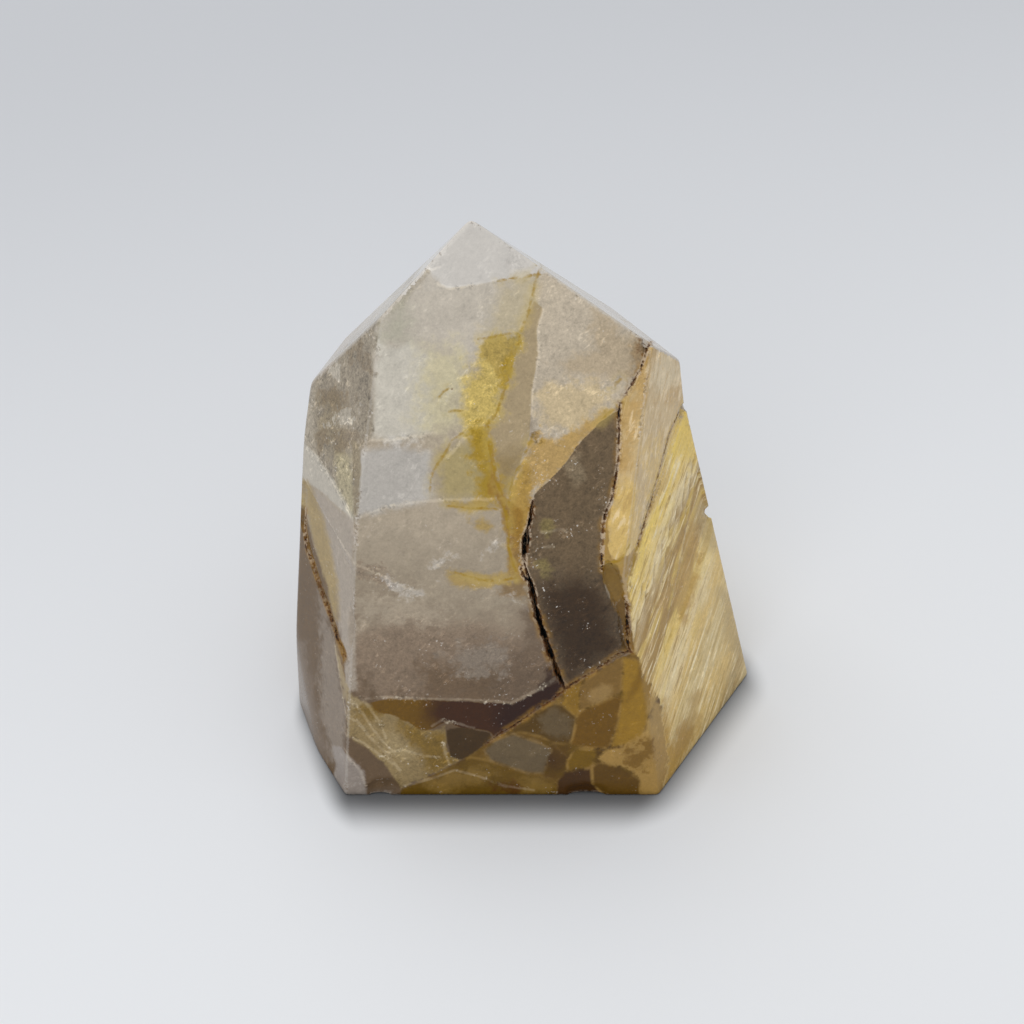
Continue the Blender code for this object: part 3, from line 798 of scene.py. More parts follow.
            (531, 584), (560, 580), (580, 574), (603, 584), (616, 616), (624, 650), (600, 667),
            (570, 686), (560, 676), (548, 640),
        ],
    ], within="smoke_window"),
    "window_haze": Zone("window_haze", 1.4, 1.2, 0.6, [
        [(564, 462), (580, 456), (586, 480), (572, 488)],
    ], within="smoke_window"),
    "window_moss": Zone("window_moss", 1.2, 1.2, 0.6, [
        [(540, 524), (550, 519), (556, 530), (546, 537)],
        [(537, 562), (548, 559), (553, 572), (542, 577)],
    ], within="smoke_window"),
    "pocket_floor": Zone("pocket_olive", 0.25, 0.3, 1.0, [
        [(602, 563), (608, 559), (618, 566), (623, 580), (625, 596), (618, 606), (611, 602), (604, 583)],
    ]),
    "pocket_foot": Zone("pocket_dusk", 0.25, 0.3, 1.0, [
        [(611, 602), (618, 606), (625, 596), (630, 610), (632, 630), (634, 651), (626, 645), (620, 622)],
    ]),
    "left_tip": Zone("tip_grey", 0.8, 0.6, 0.9, [
        [(300, 395), (313, 380), (378, 318), (374, 345), (372, 435), (358, 450), (355, 520), (300, 440)],
    ]),
    "left_tip_dusk": Zone("tip_dusk", 2.2, 2.0, 0.9, [
        [(318, 392), (340, 392), (342, 440), (348, 458), (334, 462), (322, 445), (316, 425)],
    ]),
    "left_tip_dark": Zone("tip_dark", 1.2, 3.0, 0.45, [
        [(317, 388), (330, 384), (346, 392), (348, 404), (336, 411), (321, 406)],
        [(318, 434), (345, 430), (362, 436), (340, 450), (322, 446)],
        [(346, 350), (364, 345), (368, 372), (352, 366)],
    ]),
    "left_tip_light": Zone("tip_pale", 0.8, 3.0, 0.6, [
        [(325, 362), (338, 366), (342, 380), (332, 376)],
        [(330, 418), (352, 414), (350, 422), (334, 425)],
    ]),
    "tip_edge": Zone("tip_pale", 1.6, 0.5, 0.3, [
        [(296, 392), (316, 384), (312, 440), (308, 450), (296, 446)],
    ]),
    "pale_wedge": Zone("tip_pale", 0.35, 0.3, 0.95, [
        [(300, 438), (316, 455), (334, 480), (350, 508), (355, 520), (338, 508), (322, 492), (300, 480)],
    ]),
    "moss_strip": Zone("moss", 1.2, 0.5, 0.8, [
        [(335, 455), (351, 455), (353, 485), (354, 518), (344, 500), (337, 486)],
    ]),
    "edge_shade": Zone("tip_dusk", 0.35, 0.2, 0.9, [
        [(352, 440), (360, 444), (361, 470), (359, 512), (354, 520), (353, 480)],
    ]),
    "left_veil": Zone("left_pale", 0.8, 0.6, 0.95, [
        [(304, 480), (322, 494), (340, 510), (354, 522), (356, 690), (346, 690), (338, 640), (333, 580)],
    ]),
    "straw_strip": Zone("left_straw", 1.0, 0.4, 0.9, [
        [(302, 480), (312, 486), (325, 530), (335, 580), (337, 620), (332, 622), (318, 580), (306, 520)],
    ]),
    "left_low": Zone("left_dusk", 0.4, 0.3, 0.95, [
        [(296, 500), (302, 508), (312, 545), (325, 588), (336, 640), (344, 680), (346, 800), (280, 800)],
    ]),
    "left_low_pale": Zone("left_cloud", 1.4, 1.0, 0.95, [
        [(318, 590), (330, 622), (340, 665), (346, 710), (346, 760), (330, 760), (320, 700), (320, 640)],
    ]),
    "left_rose": Zone("left_grey", 1.5, 0.8, 0.8, [
        [(290, 640), (306, 640), (314, 700), (330, 760), (300, 760), (290, 700)],
    ]),
    "seam_olive": Zone("olive_lip", 0.3, 0.3, 0.9, [
        [(333, 622), (338, 640), (344, 654), (345, 682), (342, 676), (337, 652)],
    ]),
    "web_edge": Zone("web_pale", 0.5, 0.4, 0.85, [
        [(336, 645), (342, 672), (349, 692), (364, 702), (350, 712), (344, 700), (340, 680)],
    ]),
    "corner_pale": Zone("corner_pale", 0.5, 0.5, 0.95, [
        [(332, 746), (341, 746), (352, 758), (364, 770), (367, 800), (330, 800), (336, 770)],
    ]),
    "corner_dark": Zone("body_foot", 0.5, 0.5, 0.95, [
        [
            (343, 736), (366, 748), (386, 768), (400, 790), (396, 800), (370, 800), (367, 772),
            (352, 758), (343, 750),
        ],
    ]),
}

# Ledges, where a layer or a flake of the stone has parted: the surface, the outline and how far it
# is sunk inside, in mm.
LEDGES = {
    "left_ledge": ("left", [
        (-14.0, 31.5), (-11.0, 29.2), (-6.3, 24.9), (2.2, 20.1), (5.2, 18.2), (9.0, 24.0), (9.0, 30.5),
        (-2.0, 33.4), (-14.0, 35.5),
    ], 0.3),
    "flank_ledge": ("right", [
        (15.5, 27.0), (8.4, 22.0), (1.7, 18.4), (-3.0, 16.4), (-1.2, 19.5), (4.5, 25.0), (10.0, 31.5),
        (15.5, 36.5),
    ], 0.35),
    "window_pocket": ("sight", [
        (604, 566), (611, 564), (618, 573), (626, 588), (623, 598), (630, 607), (629, 622), (628, 650),
        (623, 648), (619, 632), (617, 612), (608, 595), (603, 580),
    ], 0.8),
    "back_ledge": ("back", [(-12.0, 6.5), (-3.0, 8.0), (1.5, 12.2), (-3.2, 19.0), (-10.5, 17.5)], 0.5),
    "left_back_ledge": ("left_back", [
        (-13.0, 14.0), (-4.0, 11.5), (3.5, 17.0), (-1.0, 24.0), (-12.0, 21.5),
    ], 0.45),
}
# How wide the slope at a ledge's edge is, in mm.
LEDGE_EDGE = 0.22

# Pits and chips: the facet, the middle across and up it, half the width and the height, the turn
# in degrees and the depth, in mm.
HOLLOWS = {
    "shoulder_pit": ("front_tip", (14.0, 61.6), 0.7, 1.2, -20.0, 0.9),
    "rust_pit": ("front_tip", (0.8, 51.2), 0.55, 0.5, 0.0, 0.5),
    "rust_pit_upper": ("front_tip", (0.6, 52.5), 0.45, 0.4, 30.0, 0.4),
    "tip_pit": ("front_tip", (-1.6, 71.2), 0.3, 0.9, 15.0, 0.3),
    "seam_notch": ("right", (12.3, 43.2), 0.9, 0.7, 0.0, 0.7),
    "flank_notch": ("right", (13.2, 27.2), 0.7, 1.2, 35.0, 0.9),
    "left_edge_chip": ("left", (4.8, 24.0), 0.6, 3.0, 10.0, 0.9),
    "foot_chip": ("front", (-17.5, 1.2), 2.2, 1.3, 12.0, 0.6),
    "foot_chip_right": ("front", (8.0, 0.6), 2.6, 1.0, 0.0, 0.5),
    "back_pit": ("back", (6.0, 17.0), 0.8, 0.6, 20.0, 0.6),
    "back_pit_low": ("back", (9.5, 9.0), 0.5, 0.7, -10.0, 0.4),
    "back_chip": ("back", (-9.6, 31.0), 1.0, 2.2, 10.0, 0.5),
    "left_back_pit": ("left_back", (8.5, 16.0), 0.7, 0.9, 25.0, 0.5),
    "right_back_pit": ("right_back", (3.0, 15.5), 0.9, 0.6, -15.0, 0.5),
}
# How far behind a facet a pit or a chip in it still reaches, in mm.
HOLLOW_REACH = 2.0
# The least that a point counts as inside an outline, in mm.
OUTSIDE = -9.0
# How far down the skin faces where it counts as the underside.
UNDERSIDE = -0.97
# How far the skin turns where the painted edge highlight and the bruises begin and where they are
# full, in degrees.
WEAR_AND_SHEEN_TURNS = (6.0, 16.0)


class Places:
    """Where the points of the skin lie on each surface."""

    def __init__(self, points, outward):
        self.points = points
        names = [name for name in FACETS if name != "base"]
        beside = np.array(names)[np.argmax(outward @ planes(names)[0].T, axis=1)]
        self.facet = np.where(outward[:, 2] < UNDERSIDE, "base", beside)
        self.sight = frame_places(points)
        self.seen = np.isin(self.facet, SIGHT_FACETS)

    def on(self, surface):
        """The places of the points on a surface, the points that belong to it, and its steps in a mm."""
        if surface == "sight":
            return self.sight, self.seen, STEPS_PER_MM
        foot, across, up = facet_axes(surface)
        away = self.points - foot
        return np.column_stack([away @ across, away @ up]), self.facet == surface, 1.0

    def inside(self, surface, outline):
        """How far each point is inside an outline in mm, below nothing where it is outside."""
        places, member, steps = self.on(surface)
        outline = np.asarray(outline, float)
        nearest = np.full(len(places), np.inf)
        within = np.zeros(len(places), bool)
        for start, end in zip(outline, np.roll(outline, -1, axis=0)):
            run = end - start
            away = places - start
            share = np.clip((away @ run) / (run @ run), 0.0, 1.0)
            nearest = np.minimum(nearest, np.hypot(*(away - share[:, None] * run).T))
            if run[1] != 0.0:
                crossed = (start[1] > places[:, 1]) != (end[1] > places[:, 1])
                within ^= crossed & (away[:, 0] < away[:, 1] * run[0] / run[1])
        signed = np.where(within, nearest, -nearest) / steps
        return np.where(member, np.maximum(signed, OUTSIDE), OUTSIDE)

    def dished(self, facet, middle, half_width, half_height, turn, depth):
        """How deep a dished hollow is at each point, in mm."""
        places, _, _ = self.on(facet)
        away = places - np.array(middle)
        angle = math.radians(turn)
        across = (away[:, 0] * math.cos(angle) + away[:, 1] * math.sin(angle)) / half_width
        up = (away[:, 1] * math.cos(angle) - away[:, 0] * math.sin(angle)) / half_height
        over = np.einsum("pd,d->p", self.points, facet_normal(facet)) - FACETS[facet][2]
        near = np.clip(1.0 + over / HOLLOW_REACH, 0.0, 1.0)
        return near * depth * np.sqrt(np.clip(1.0 - across**2 - up**2, 0.0, 1.0))


def smooth(share):
    """A smooth step of shares from 0 to 1."""
    share = np.clip(share, 0.0, 1.0)
    return share * share * (3.0 - 2.0 * share)


def store(mesh, name, values):
    """Keep a number for each point of a mesh."""
    attribute = mesh.attributes.new(name, "FLOAT", "POINT")
    attribute.data.foreach_set("value", values.astype(np.float32))


def store_relief(mesh, places):
    """Store how deep ledges, pits and chips are at each point."""
    dip = np.zeros(len(places.points))
    for surface, outline, depth in LEDGES.values():
        inside = places.inside(surface, outline)
        dip = np.maximum(dip, depth * smooth(0.5 + inside / LEDGE_EDGE))
    for hollow in HOLLOWS.values():
        dip = np.maximum(dip, places.dished(*hollow))
    store(mesh, "dip", dip)


def store_zones(mesh, places):
    """Store how far each point is inside each zone."""
    for name, zone in ZONES.items():
        inside = np.full(len(places.points), OUTSIDE)
        outlines = [("sight", outline) for outline in zone.outlines]
        for surface, outline in [*outlines, *(zone.elsewhere or {}).items()]:
            inside = np.maximum(inside, places.inside(surface, outline))
        store(mesh, name, inside)


def store_wear(mesh, outward):
    """Store how far each point is round the turn of a polished edge, as a share."""
    turned = np.degrees(np.arccos(np.clip((outward @ planes(FACETS)[0].T).max(axis=1), -1.0, 1.0)))
    store(mesh, "wear", smooth((turned - WEAR_AND_SHEEN_TURNS[0]) / (WEAR_AND_SHEEN_TURNS[1] - WEAR_AND_SHEEN_TURNS[0])))


# ------------------------------------------------------------------ the dressed skin

# Edge lengths of the skin in mm: on the seen side, on the other sides and on the base, and the
# shorter ones along polished edges and along routes, with how far from a route they reach.
SEEN_LENGTH = 0.5
HIDDEN_LENGTH = 0.95
BASE_LENGTH = 2.0
EDGE_LENGTH = 0.3
ROUTE_LENGTH = 0.2
ROUTE_REACH = 0.5
# How much of what hidden lengths have over seen ones is kept along edges.
EDGE_EASE = 0.4
# Cosines: the skin is base where it faces up less than the first, and an edge where it faces every
# facet less than the second.
BASE_FACING = -0.9
EDGE_FACING = 0.9995
# How often the first ball is split, how many lengths an edge may have before it is split again, and
# how many rounds of splits and of evening out there are.
BALL_SPLITS = 5
LONGEST = 1.35
SPLIT_ROUNDS = 7
RELAX_ROUNDS = 2


def facing(outward, points):
    """Whether the skin at some points is turned towards the camera."""
    return np.einsum("pd,pd->p", outward, EYE - points) > 0


def wanted_length(points, outward, route_tree):
    """The edge length that the skin wants at some points, in mm."""
    wanted = np.where(facing(outward, points), SEEN_LENGTH, HIDDEN_LENGTH)
    wanted = np.where(outward[:, 2] < BASE_FACING, BASE_LENGTH, wanted)
    bent = (outward @ planes(FACETS)[0].T).max(axis=1) < EDGE_FACING
    wanted = np.where(bent, np.minimum(wanted, EDGE_LENGTH + EDGE_EASE * (wanted - SEEN_LENGTH)), wanted)
    gaps = np.array([route_tree.find(point)[2] for point in points])
    return np.where(gaps < ROUTE_REACH, np.minimum(wanted, ROUTE_LENGTH), wanted)


def vertex_array(mesh):
    """The places of a mesh's points."""
    places = np.empty(3 * len(mesh.vertices))
    mesh.vertices.foreach_get("co", places)
    return places.reshape(-1, 3)


def edge_array(mesh):
    """The pairs of points of a mesh's edges."""
    pairs = np.empty(2 * len(mesh.edges), np.int32)
    mesh.edges.foreach_get("vertices", pairs)
    return pairs.reshape(-1, 2)


def directions_of(places):
    """The directions of some places from the heart."""
    away = places - HEART
    return away / np.linalg.norm(away, axis=1, keepdims=True)


def relaxed(places, pairs):
    """Each place moved to the middle of its neighbours."""
    total = np.zeros_like(places)
    count = np.zeros(len(places))
    for near, far in ((0, 1), (1, 0)):
        np.add.at(total, pairs[:, near], places[pairs[:, far]])
        np.add.at(count, pairs[:, near], 1)
    return total / count[:, None]


def route_points(routes):
    """A search tree of the points of some route objects."""
    places = [vertex.co for route in routes for vertex in route.data.vertices]
    tree = KDTree(len(places))
    for index, place in enumerate(places):
        tree.insert(place, index)
    tree.balance()
    return tree


def split_edges(ball, numbers):
    """Split some edges of a ball of triangles in two, and make triangles of its faces again."""
    ball.edges.ensure_lookup_table()
    bmesh.ops.subdivide_edges(ball, edges=[ball.edges[number] for number in numbers], cuts=1)
    odd = [face for face in ball.faces if len(face.verts) > 3]
    bmesh.ops.triangulate(ball, faces=odd, quad_method="SHORT_EDGE", ngon_method="BEAUTY")
    ball.verts.index_update()


def ground_skin(routes):
    """A closed triangle mesh of the polished stone in mm, finer where there is more to show."""
    tree = route_points(routes)
    mesh = bpy.data.meshes.new("quartz_tower_dressed")
    ball = bmesh.new()
    bmesh.ops.create_icosphere(ball, subdivisions=BALL_SPLITS, radius=1.0)
    ball.to_mesh(mesh)
    points, outward = skin(directions_of(vertex_array(mesh) + HEART))
    for _ in range(SPLIT_ROUNDS):
        for vertex, point in zip(ball.verts, points.tolist()):
            vertex.co = point
        ball.to_mesh(mesh)
        pairs = edge_array(mesh)
        lengths = np.linalg.norm(points[pairs[:, 0]] - points[pairs[:, 1]], axis=1)
        wanted = wanted_length(points, outward, tree)
        too_long = np.nonzero(lengths > LONGEST * wanted[pairs].min(axis=1))[0]
        if not len(too_long):
            break
        split_edges(ball, too_long)
        ball.to_mesh(mesh)
        points, outward = skin(directions_of(vertex_array(mesh)))
        pairs = edge_array(mesh)
        for _ in range(RELAX_ROUNDS):
            points, outward = skin(directions_of((points + relaxed(points, pairs)) / 2))
    bmesh.ops.recalc_face_normals(ball, faces=ball.faces[:])
    ball.to_mesh(mesh)
    ball.free()
    mesh.vertices.foreach_set("co", points.ravel())
    mesh.update()
    return mesh, points, outward


# ------------------------------------------------------------------ writing node trees


class Value:
    """A socket of a node tree. Sums on it add Math nodes to its tree."""

    def __init__(self, maker, socket):
        self.maker = maker
        self.socket = socket

    def math(self, operation, *others):
        """A Math node on this value and others."""
        values = dict(enumerate([self, *others]))
        return self.maker.node("ShaderNodeMath", {"operation": operation}, values)

    def __add__(self, other):
        return self.math("ADD", other)

    def __sub__(self, other):
        return self.math("SUBTRACT", other)

    def __rsub__(self, other):
        return self.maker.node("ShaderNodeMath", {"operation": "SUBTRACT"}, {0: other, 1: self})

    def __mul__(self, other):
        return self.math("MULTIPLY", other)

    def __truediv__(self, other):
        return self.math("DIVIDE", other)

    def __pow__(self, other):
        return self.math("POWER", other)

    def __abs__(self):
        return self.math("ABSOLUTE")

    __radd__ = __add__
    __rmul__ = __mul__

    def most(self, other):
        """The greater of this value and another."""
        return self.math("MAXIMUM", other)


class Maker:
    """Adds nodes to one node tree."""

    def __init__(self, tree):
        self.tree = tree

    def node(self, kind, settings=None, values=None, output=0):
        """A node of a type, with its settings made first and then its sockets set or linked."""
        made = self.tree.nodes.new(kind)
        for name, setting in (settings or {}).items():
            setattr(made, name, setting)
        for name, value in (values or {}).items():
            socket = made.inputs[name]
            if isinstance(value, Value):
                self.tree.links.new(value.socket, socket)
            else:
                socket.default_value = value
        return Value(self, made.outputs[output]) if made.outputs else None

    def output(self, value, name):
        """Another output of the node that a value comes from."""
        return Value(self, value.socket.node.outputs[name])

    def step(self, value, low, high, at_low=0.0, at_high=1.0):
        """A smooth step from one number to another as a value goes from low to high."""
        values = {"Value": value, "From Min": low, "From Max": high, "To Min": at_low, "To Max": at_high}
        return self.node("ShaderNodeMapRange", {"interpolation_type": "SMOOTHSTEP"}, values)


# ------------------------------------------------------------------ what Geometry Nodes cut

# How far the edges of cuts wander in mm, and the noise that moves them: its size in mm, its detail
# and its roughness.
RAGGED_CUT = 0.22
RAGGED_NOISE = (0.7, 3.0, 0.6)
# Where a cut's lip and its full depth lie, counted in its widths out from its edge, and what is
# added to a width there so that a thin end still has a lip, in mm.
CUT_LIP = 0.06
CUT_FULL = -0.42
THIN_END = 0.05
# Growth lines on the right flank: the first one's head across and up the facet, the step to the
# next, the run of each, their number, width, depth and lip in mm, the share of its run that the
# shortest has, the points of each, and the seed of their lengths.
GROWTH_HEAD = (-3.5, 28.5)
GROWTH_STEP = (2.3, 1.15)
GROWTH_RUN = (-5.6, -7.6)
GROWTH_COUNT = 8
GROWTH_WIDTH = 0.34
GROWTH_DEPTH = 0.22
GROWTH_LIP = 0.05
GROWTH_SHORTEST = 0.45
GROWTH_POINTS = 12
GROWTH_SEED = 7
# The inputs of the tree that cuts the skin: the type of each and its value, where it has one here.
CUT_INPUTS = {
    "Open routes": ("NodeSocketObject", None),
    "Gold routes": ("NodeSocketObject", None),
    "Pale routes": ("NodeSocketObject", None),
    "Growth place": ("NodeSocketVector", None),
    "Growth turn": ("NodeSocketVector", None),
    "Growth step": ("NodeSocketVector", (*GROWTH_STEP, 0.0)),
    "Growth run": ("NodeSocketVector", (*GROWTH_RUN, 0.0)),
    "Growth count": ("NodeSocketInt", GROWTH_COUNT),
    "Growth width": ("NodeSocketFloat", GROWTH_WIDTH),
    "Growth depth": ("NodeSocketFloat", GROWTH_DEPTH),
    "Seed": ("NodeSocketInt", GROWTH_SEED),
    "Material": ("NodeSocketMaterial", None),
}


def geometry_tree(name, inputs):
    """A Geometry Nodes tree with a geometry input and output, and named inputs (type, value)."""
    tree = bpy.data.node_groups.new(name, "GeometryNodeTree")
    tree.interface.new_socket("Geometry", in_out="INPUT", socket_type="NodeSocketGeometry")
    tree.interface.new_socket("Geometry", in_out="OUTPUT", socket_type="NodeSocketGeometry")
    for label, (kind, value) in inputs.items():
        socket = tree.interface.new_socket(label, in_out="INPUT", socket_type=kind)
        if value is not None:
            socket.default_value = value
    maker = Maker(tree)
    group_input = maker.node("NodeGroupInput")
    return maker, {label: maker.output(group_input, label) for label in ("Geometry", *inputs)}


def stored(maker, geometry, name, value):
    """A geometry with a value stored on its points under a name."""
    settings = {"data_type": "FLOAT", "domain": "POINT"}
    values = {"Geometry": geometry, "Name": name, "Value": value}
    return maker.node("GeometryNodeStoreNamedAttribute", settings, values)


def named(maker, name):
    """A stored value of the points."""
    return maker.node("GeometryNodeInputNamedAttribute", {"data_type": "FLOAT"}, {"Name": name})


def distance_to(maker, lines):
    """How far points are from some lines."""
    return maker.node("GeometryNodeProximity", {"target_element": "EDGES"}, {0: lines}, "Distance")


def route_gap(maker, guide, wander):
    """How far points stand outside the edges of routes, and how wide and how deep those are there."""
    nearest = maker.node("GeometryNodeSampleNearest", {"domain": "POINT"}, {"Geometry": guide})
    settings = {"data_type": "FLOAT", "domain": "POINT"}
    sampled = []
    for name in ("width", "depth"):
        values = {"Geometry": guide, "Value": named(maker, name), "Index": nearest}
        sampled.append(maker.node("GeometryNodeSampleIndex", settings, values))
    width, depth = sampled
    return distance_to(maker, guide) - width * 0.5 + wander, width, depth


def routes_kept(maker, inputs, wander):
    """The skin with how near each kind of route is, and how deep the open ones are cut."""
    geometry = inputs["Geometry"]
    for kind in ("Open", "Gold", "Pale"):
        guide = maker.node("GeometryNodeObjectInfo", None, {"Object": inputs[f"{kind} routes"]}, "Geometry")
        gap, width, depth = route_gap(maker, guide, wander)
        geometry = stored(maker, geometry, f"{kind.lower()}_gap", gap)
        if kind == "Open":
            across = maker.step(gap / (width + THIN_END), CUT_FULL, CUT_LIP, 1.0, 0.0)
            geometry = stored(maker, geometry, "cut", across * depth)
    return geometry


def growth_lines(maker, inputs):
    """Lines of several lengths side by side, as one geometry on the right flank."""
    heads = {"Count": inputs["Growth count"], "Offset": inputs["Growth step"]}
    heads = maker.node("GeometryNodeMeshLine", {"mode": "OFFSET"}, heads)
    lengths = {2: GROWTH_SHORTEST, 3: 1.0, "Seed": inputs["Seed"]}
    lengths = maker.node("FunctionNodeRandomValue", {"data_type": "FLOAT"}, lengths, 1)
    line = {"Count": GROWTH_POINTS, "Offset": inputs["Growth run"]}
    line = maker.node("GeometryNodeMeshLine", {"mode": "END_POINTS"}, line)
    lines = {"Points": heads, "Instance": line, "Scale": lengths}
    lines = maker.node("GeometryNodeInstanceOnPoints", None, lines)
    lines = maker.node("GeometryNodeRealizeInstances", None, {"Geometry": lines})
    placing = {"Geometry": lines, "Translation": inputs["Growth place"], "Rotation": inputs["Growth turn"]}
    return maker.node("GeometryNodeTransform", None, placing)


def cut_tree():
    """Cuts routes, growth lines and the stored dips into a skin, and turns it from mm into metres."""
    maker, inputs = geometry_tree("cuts_along_seams", CUT_INPUTS)
    position = maker.node("GeometryNodeInputPosition")
    size, detail, roughness = RAGGED_NOISE
    ragged = {"Vector": position, "Scale": 1.0 / size, "Detail": detail, "Roughness": roughness}
    wander = (maker.node("ShaderNodeTexNoise", None, ragged) - 0.5) * RAGGED_CUT
    geometry = routes_kept(maker, inputs, wander)
    half = inputs["Growth width"] * 0.5
    gap = distance_to(maker, growth_lines(maker, inputs)) - half + wander
    geometry = stored(maker, geometry, "growth_gap", gap)
    growth = maker.step(gap, half * -1.0, GROWTH_LIP, 1.0, 0.0) * inputs["Growth depth"]
    sunk = named(maker, "cut").most(growth) + named(maker, "dip")
    inward = {0: maker.node("GeometryNodeInputNormal"), "Scale": sunk * -MM}
    inward = maker.node("ShaderNodeVectorMath", {"operation": "SCALE"}, inward)
    placed = {0: position, 1: (MM, MM, MM), 2: inward}
    placed = maker.node("ShaderNodeVectorMath", {"operation": "MULTIPLY_ADD"}, placed)
    geometry = maker.node("GeometryNodeSetPosition", None, {"Geometry": geometry, "Position": placed})
    geometry = maker.node("GeometryNodeRealizeInstances", None, {"Geometry": geometry})
    finish = {"Geometry": geometry, "Material": inputs["Material"]}
    geometry = maker.node("GeometryNodeSetMaterial", None, finish)
    maker.node("NodeGroupOutput", None, {"Geometry": geometry})
    return maker.tree


# ------------------------------------------------------------------ the stone's material

# The stone's body colour by height above the base in mm, how high that goes, and how far clouds and
# mottling shift it.
BODY_HEIGHTS = [
    (0.0, "body_foot"),
    (12.0, "body_foot"),
    (21.0, "body_low"),
    (29.0, "body_dusk"),
    (39.0, "cloud"),
    (50.0, "body_mid"),
    (58.0, "haze"),
    (70.0, "haze"),
]
BODY_TOP = 70.0
BODY_SWAYS = {"cloud": 14.0, "mottle": 6.0}
# The side crystal's growth layers by depth below the seam in mm, how deep they go, and how far
# bands, clouds and silk shift them.
FLANK_LAYERS = [
    (0.0, "flank_honey"),
    (1.2, "flank_lemon"),
    (3.0, "flank_gold"),
    (4.6, "flank_cream"),
    (6.2, "flank_grey"),
    (8.2, "flank_brown"),
    (10.0, "flank_tan"),
    (12.5, "flank_brown"),
    (14.5, "flank_honey"),
    (17.5, "flank_cream"),
    (20.5, "flank_honey"),
    (24.0, "flank_beige"),
    (29.0, "flank_honey"),
    (33.0, "flank_dusk"),
    (38.0, "flank_beige"),
]
FLANK_REACH = 40.0
FLANK_BANDS = 6.0
FLANK_SWAYS = {"cloud": 6.0}
FLANK_SILK = 3.0
# Noises of the stone: the size in mm, the detail, the roughness and the distortion.
NOISES = {
    "cloud": (7.0, 3.0, 0.55),
    "mottle": (2.2, 4.0, 0.6, 0.3),
    "fine": (0.75, 3.0, 0.6),
    "speck": (0.36, 2.0, 0.55),
    "grain": (0.2, 1.0, 0.5),
    "cluster": (3.1, 2.0, 0.6, 0.6),
    "breaks": (1.4, 2.0, 0.6),
}
# Stretched noises, whose size comes from the places that they are given.
SILK = (1.0, 4.0, 0.65, 0.35)
BANDS = (1.0, 2.0, 0.5, 0.5)
FIBRES = (1.0, 4.0, 0.6, 0.6)
STROKES = (1.0, 4.0, 0.62, 0.6)
# How far noises move the edges of zones, in mm.
ZONE_SWAYS = {"mottle": 3.0, "fine": 1.2}
# How large silk and bands are across the layers and along them, in mm.
SILK_SIZE = (0.55, 12.0, 5.0)
BAND_SIZE = (2.0, 24.0, 9.0)
# The turn in radians and the size in mm of the band's fibres, of the strokes in the quartz and of
# the amber foot's soft cells, and how far clouds bend those cells, in their own sizes.
FIBRE_LIE = ((0.0, 0.32, 0.0), (0.6, 1.5, 5.0))
STROKE_LIE = ((0.2, 0.8, 0.1), (0.5, 0.7, 1.1))
CELL_LIE = ((0.35, 0.5, 0.6), (5.0, 8.0, 3.6))
CELL_BEND = (0.7, 0.7, 0.7)
# Silk fades away from the seam: the depths inside the flank in mm, and how strong it is at each.
SILK_DEPTHS = (14.0, 5.0, 0.15, 1.0)
# How far silk tears the side crystal's edge, in mm.
SILK_TEAR = 1.3
# The tones of the amber foot's soft cells, by a number of each cell from 0 to 1, and how far
# mottling shifts that number.
CELL_TONES = [(0.0, "cell_dark"), (0.35, "cell_low"), (0.6, "amber"), (1.0, "amber_pale")]
CELL_SWAYS = {"mottle": 0.6}
# Looks laid over a colour, in their order: the tone, or a number for how bright they make the
# colour; how strong they are; and where in each of their sources they start and are full, with how
# strong they are there if it isn't 0 and 1. Sources are noises, how far round the turn of a polished
# edge the skin is, and in mm the depth under the seam, the height and the gap to the edge of a line.
# Silk and warm bands in the side crystal, fibres in the band beside it, and walls of soft cells.
SILK_LOOKS = [
    ("flank_cream", 0.55, {"silk": (0.51, 0.58)}),
    ("flank_pale", 0.75, {"silk": (0.58, 0.66)}),
    ("flank_brown", 0.75, {"silk": (0.45, 0.36)}),
]
WARM_LOOKS = [("flank_lemon", 0.4, {"bands": (0.5, 0.62), "layer": (26.0, 12.0)})]
FIBRE_LOOKS = [("band_pale", 0.6, {"fibres": (0.52, 0.66)}), ("band_dusk", 0.6, {"fibres": (0.47, 0.34)})]
WALL_LOOKS = [("cell_tan", 0.5, {"walls": (0.07, 0.0), "mottle": (0.4, 0.6)})]
# Inside the quartz: strokes, patches where it is rough, and painted glints, pale flecks where light
# would glint.
STROKE_LOOKS = [
    (1.7, 0.5, {"strokes": (0.5, 0.72), "cluster": (0.44, 0.62)}),
    (0.62, 0.4, {"strokes": (0.45, 0.28)}),
]
PATCH_LOOKS = [(0.72, 1.0, {"mottle": (0.52, 0.66), "fine": (0.44, 0.6)})]
PAINTED_GLINT_LOOKS = [("milk", 0.5, {"speck": (0.63, 0.71), "cluster": (0.53, 0.66)})]
# A painted highlight, as a lighter line along the polished edges, and small real bruises along them.
EDGE_SHEEN_AND_WEAR_LOOKS = [
    # Painted highlight: a lighter line round the turn of each polished edge.
    ("milk", 0.2, {"wear": (0.2, 1.0)}),
    ("milk", 0.35, {"wear": (0.0, 0.3), "cluster": (0.5, 0.6), "speck": (0.54, 0.62)}),
    ("body_foot", 0.45, {"wear": (0.0, 0.3), "cluster": (0.5, 0.6), "speck": (0.47, 0.38)}),
]
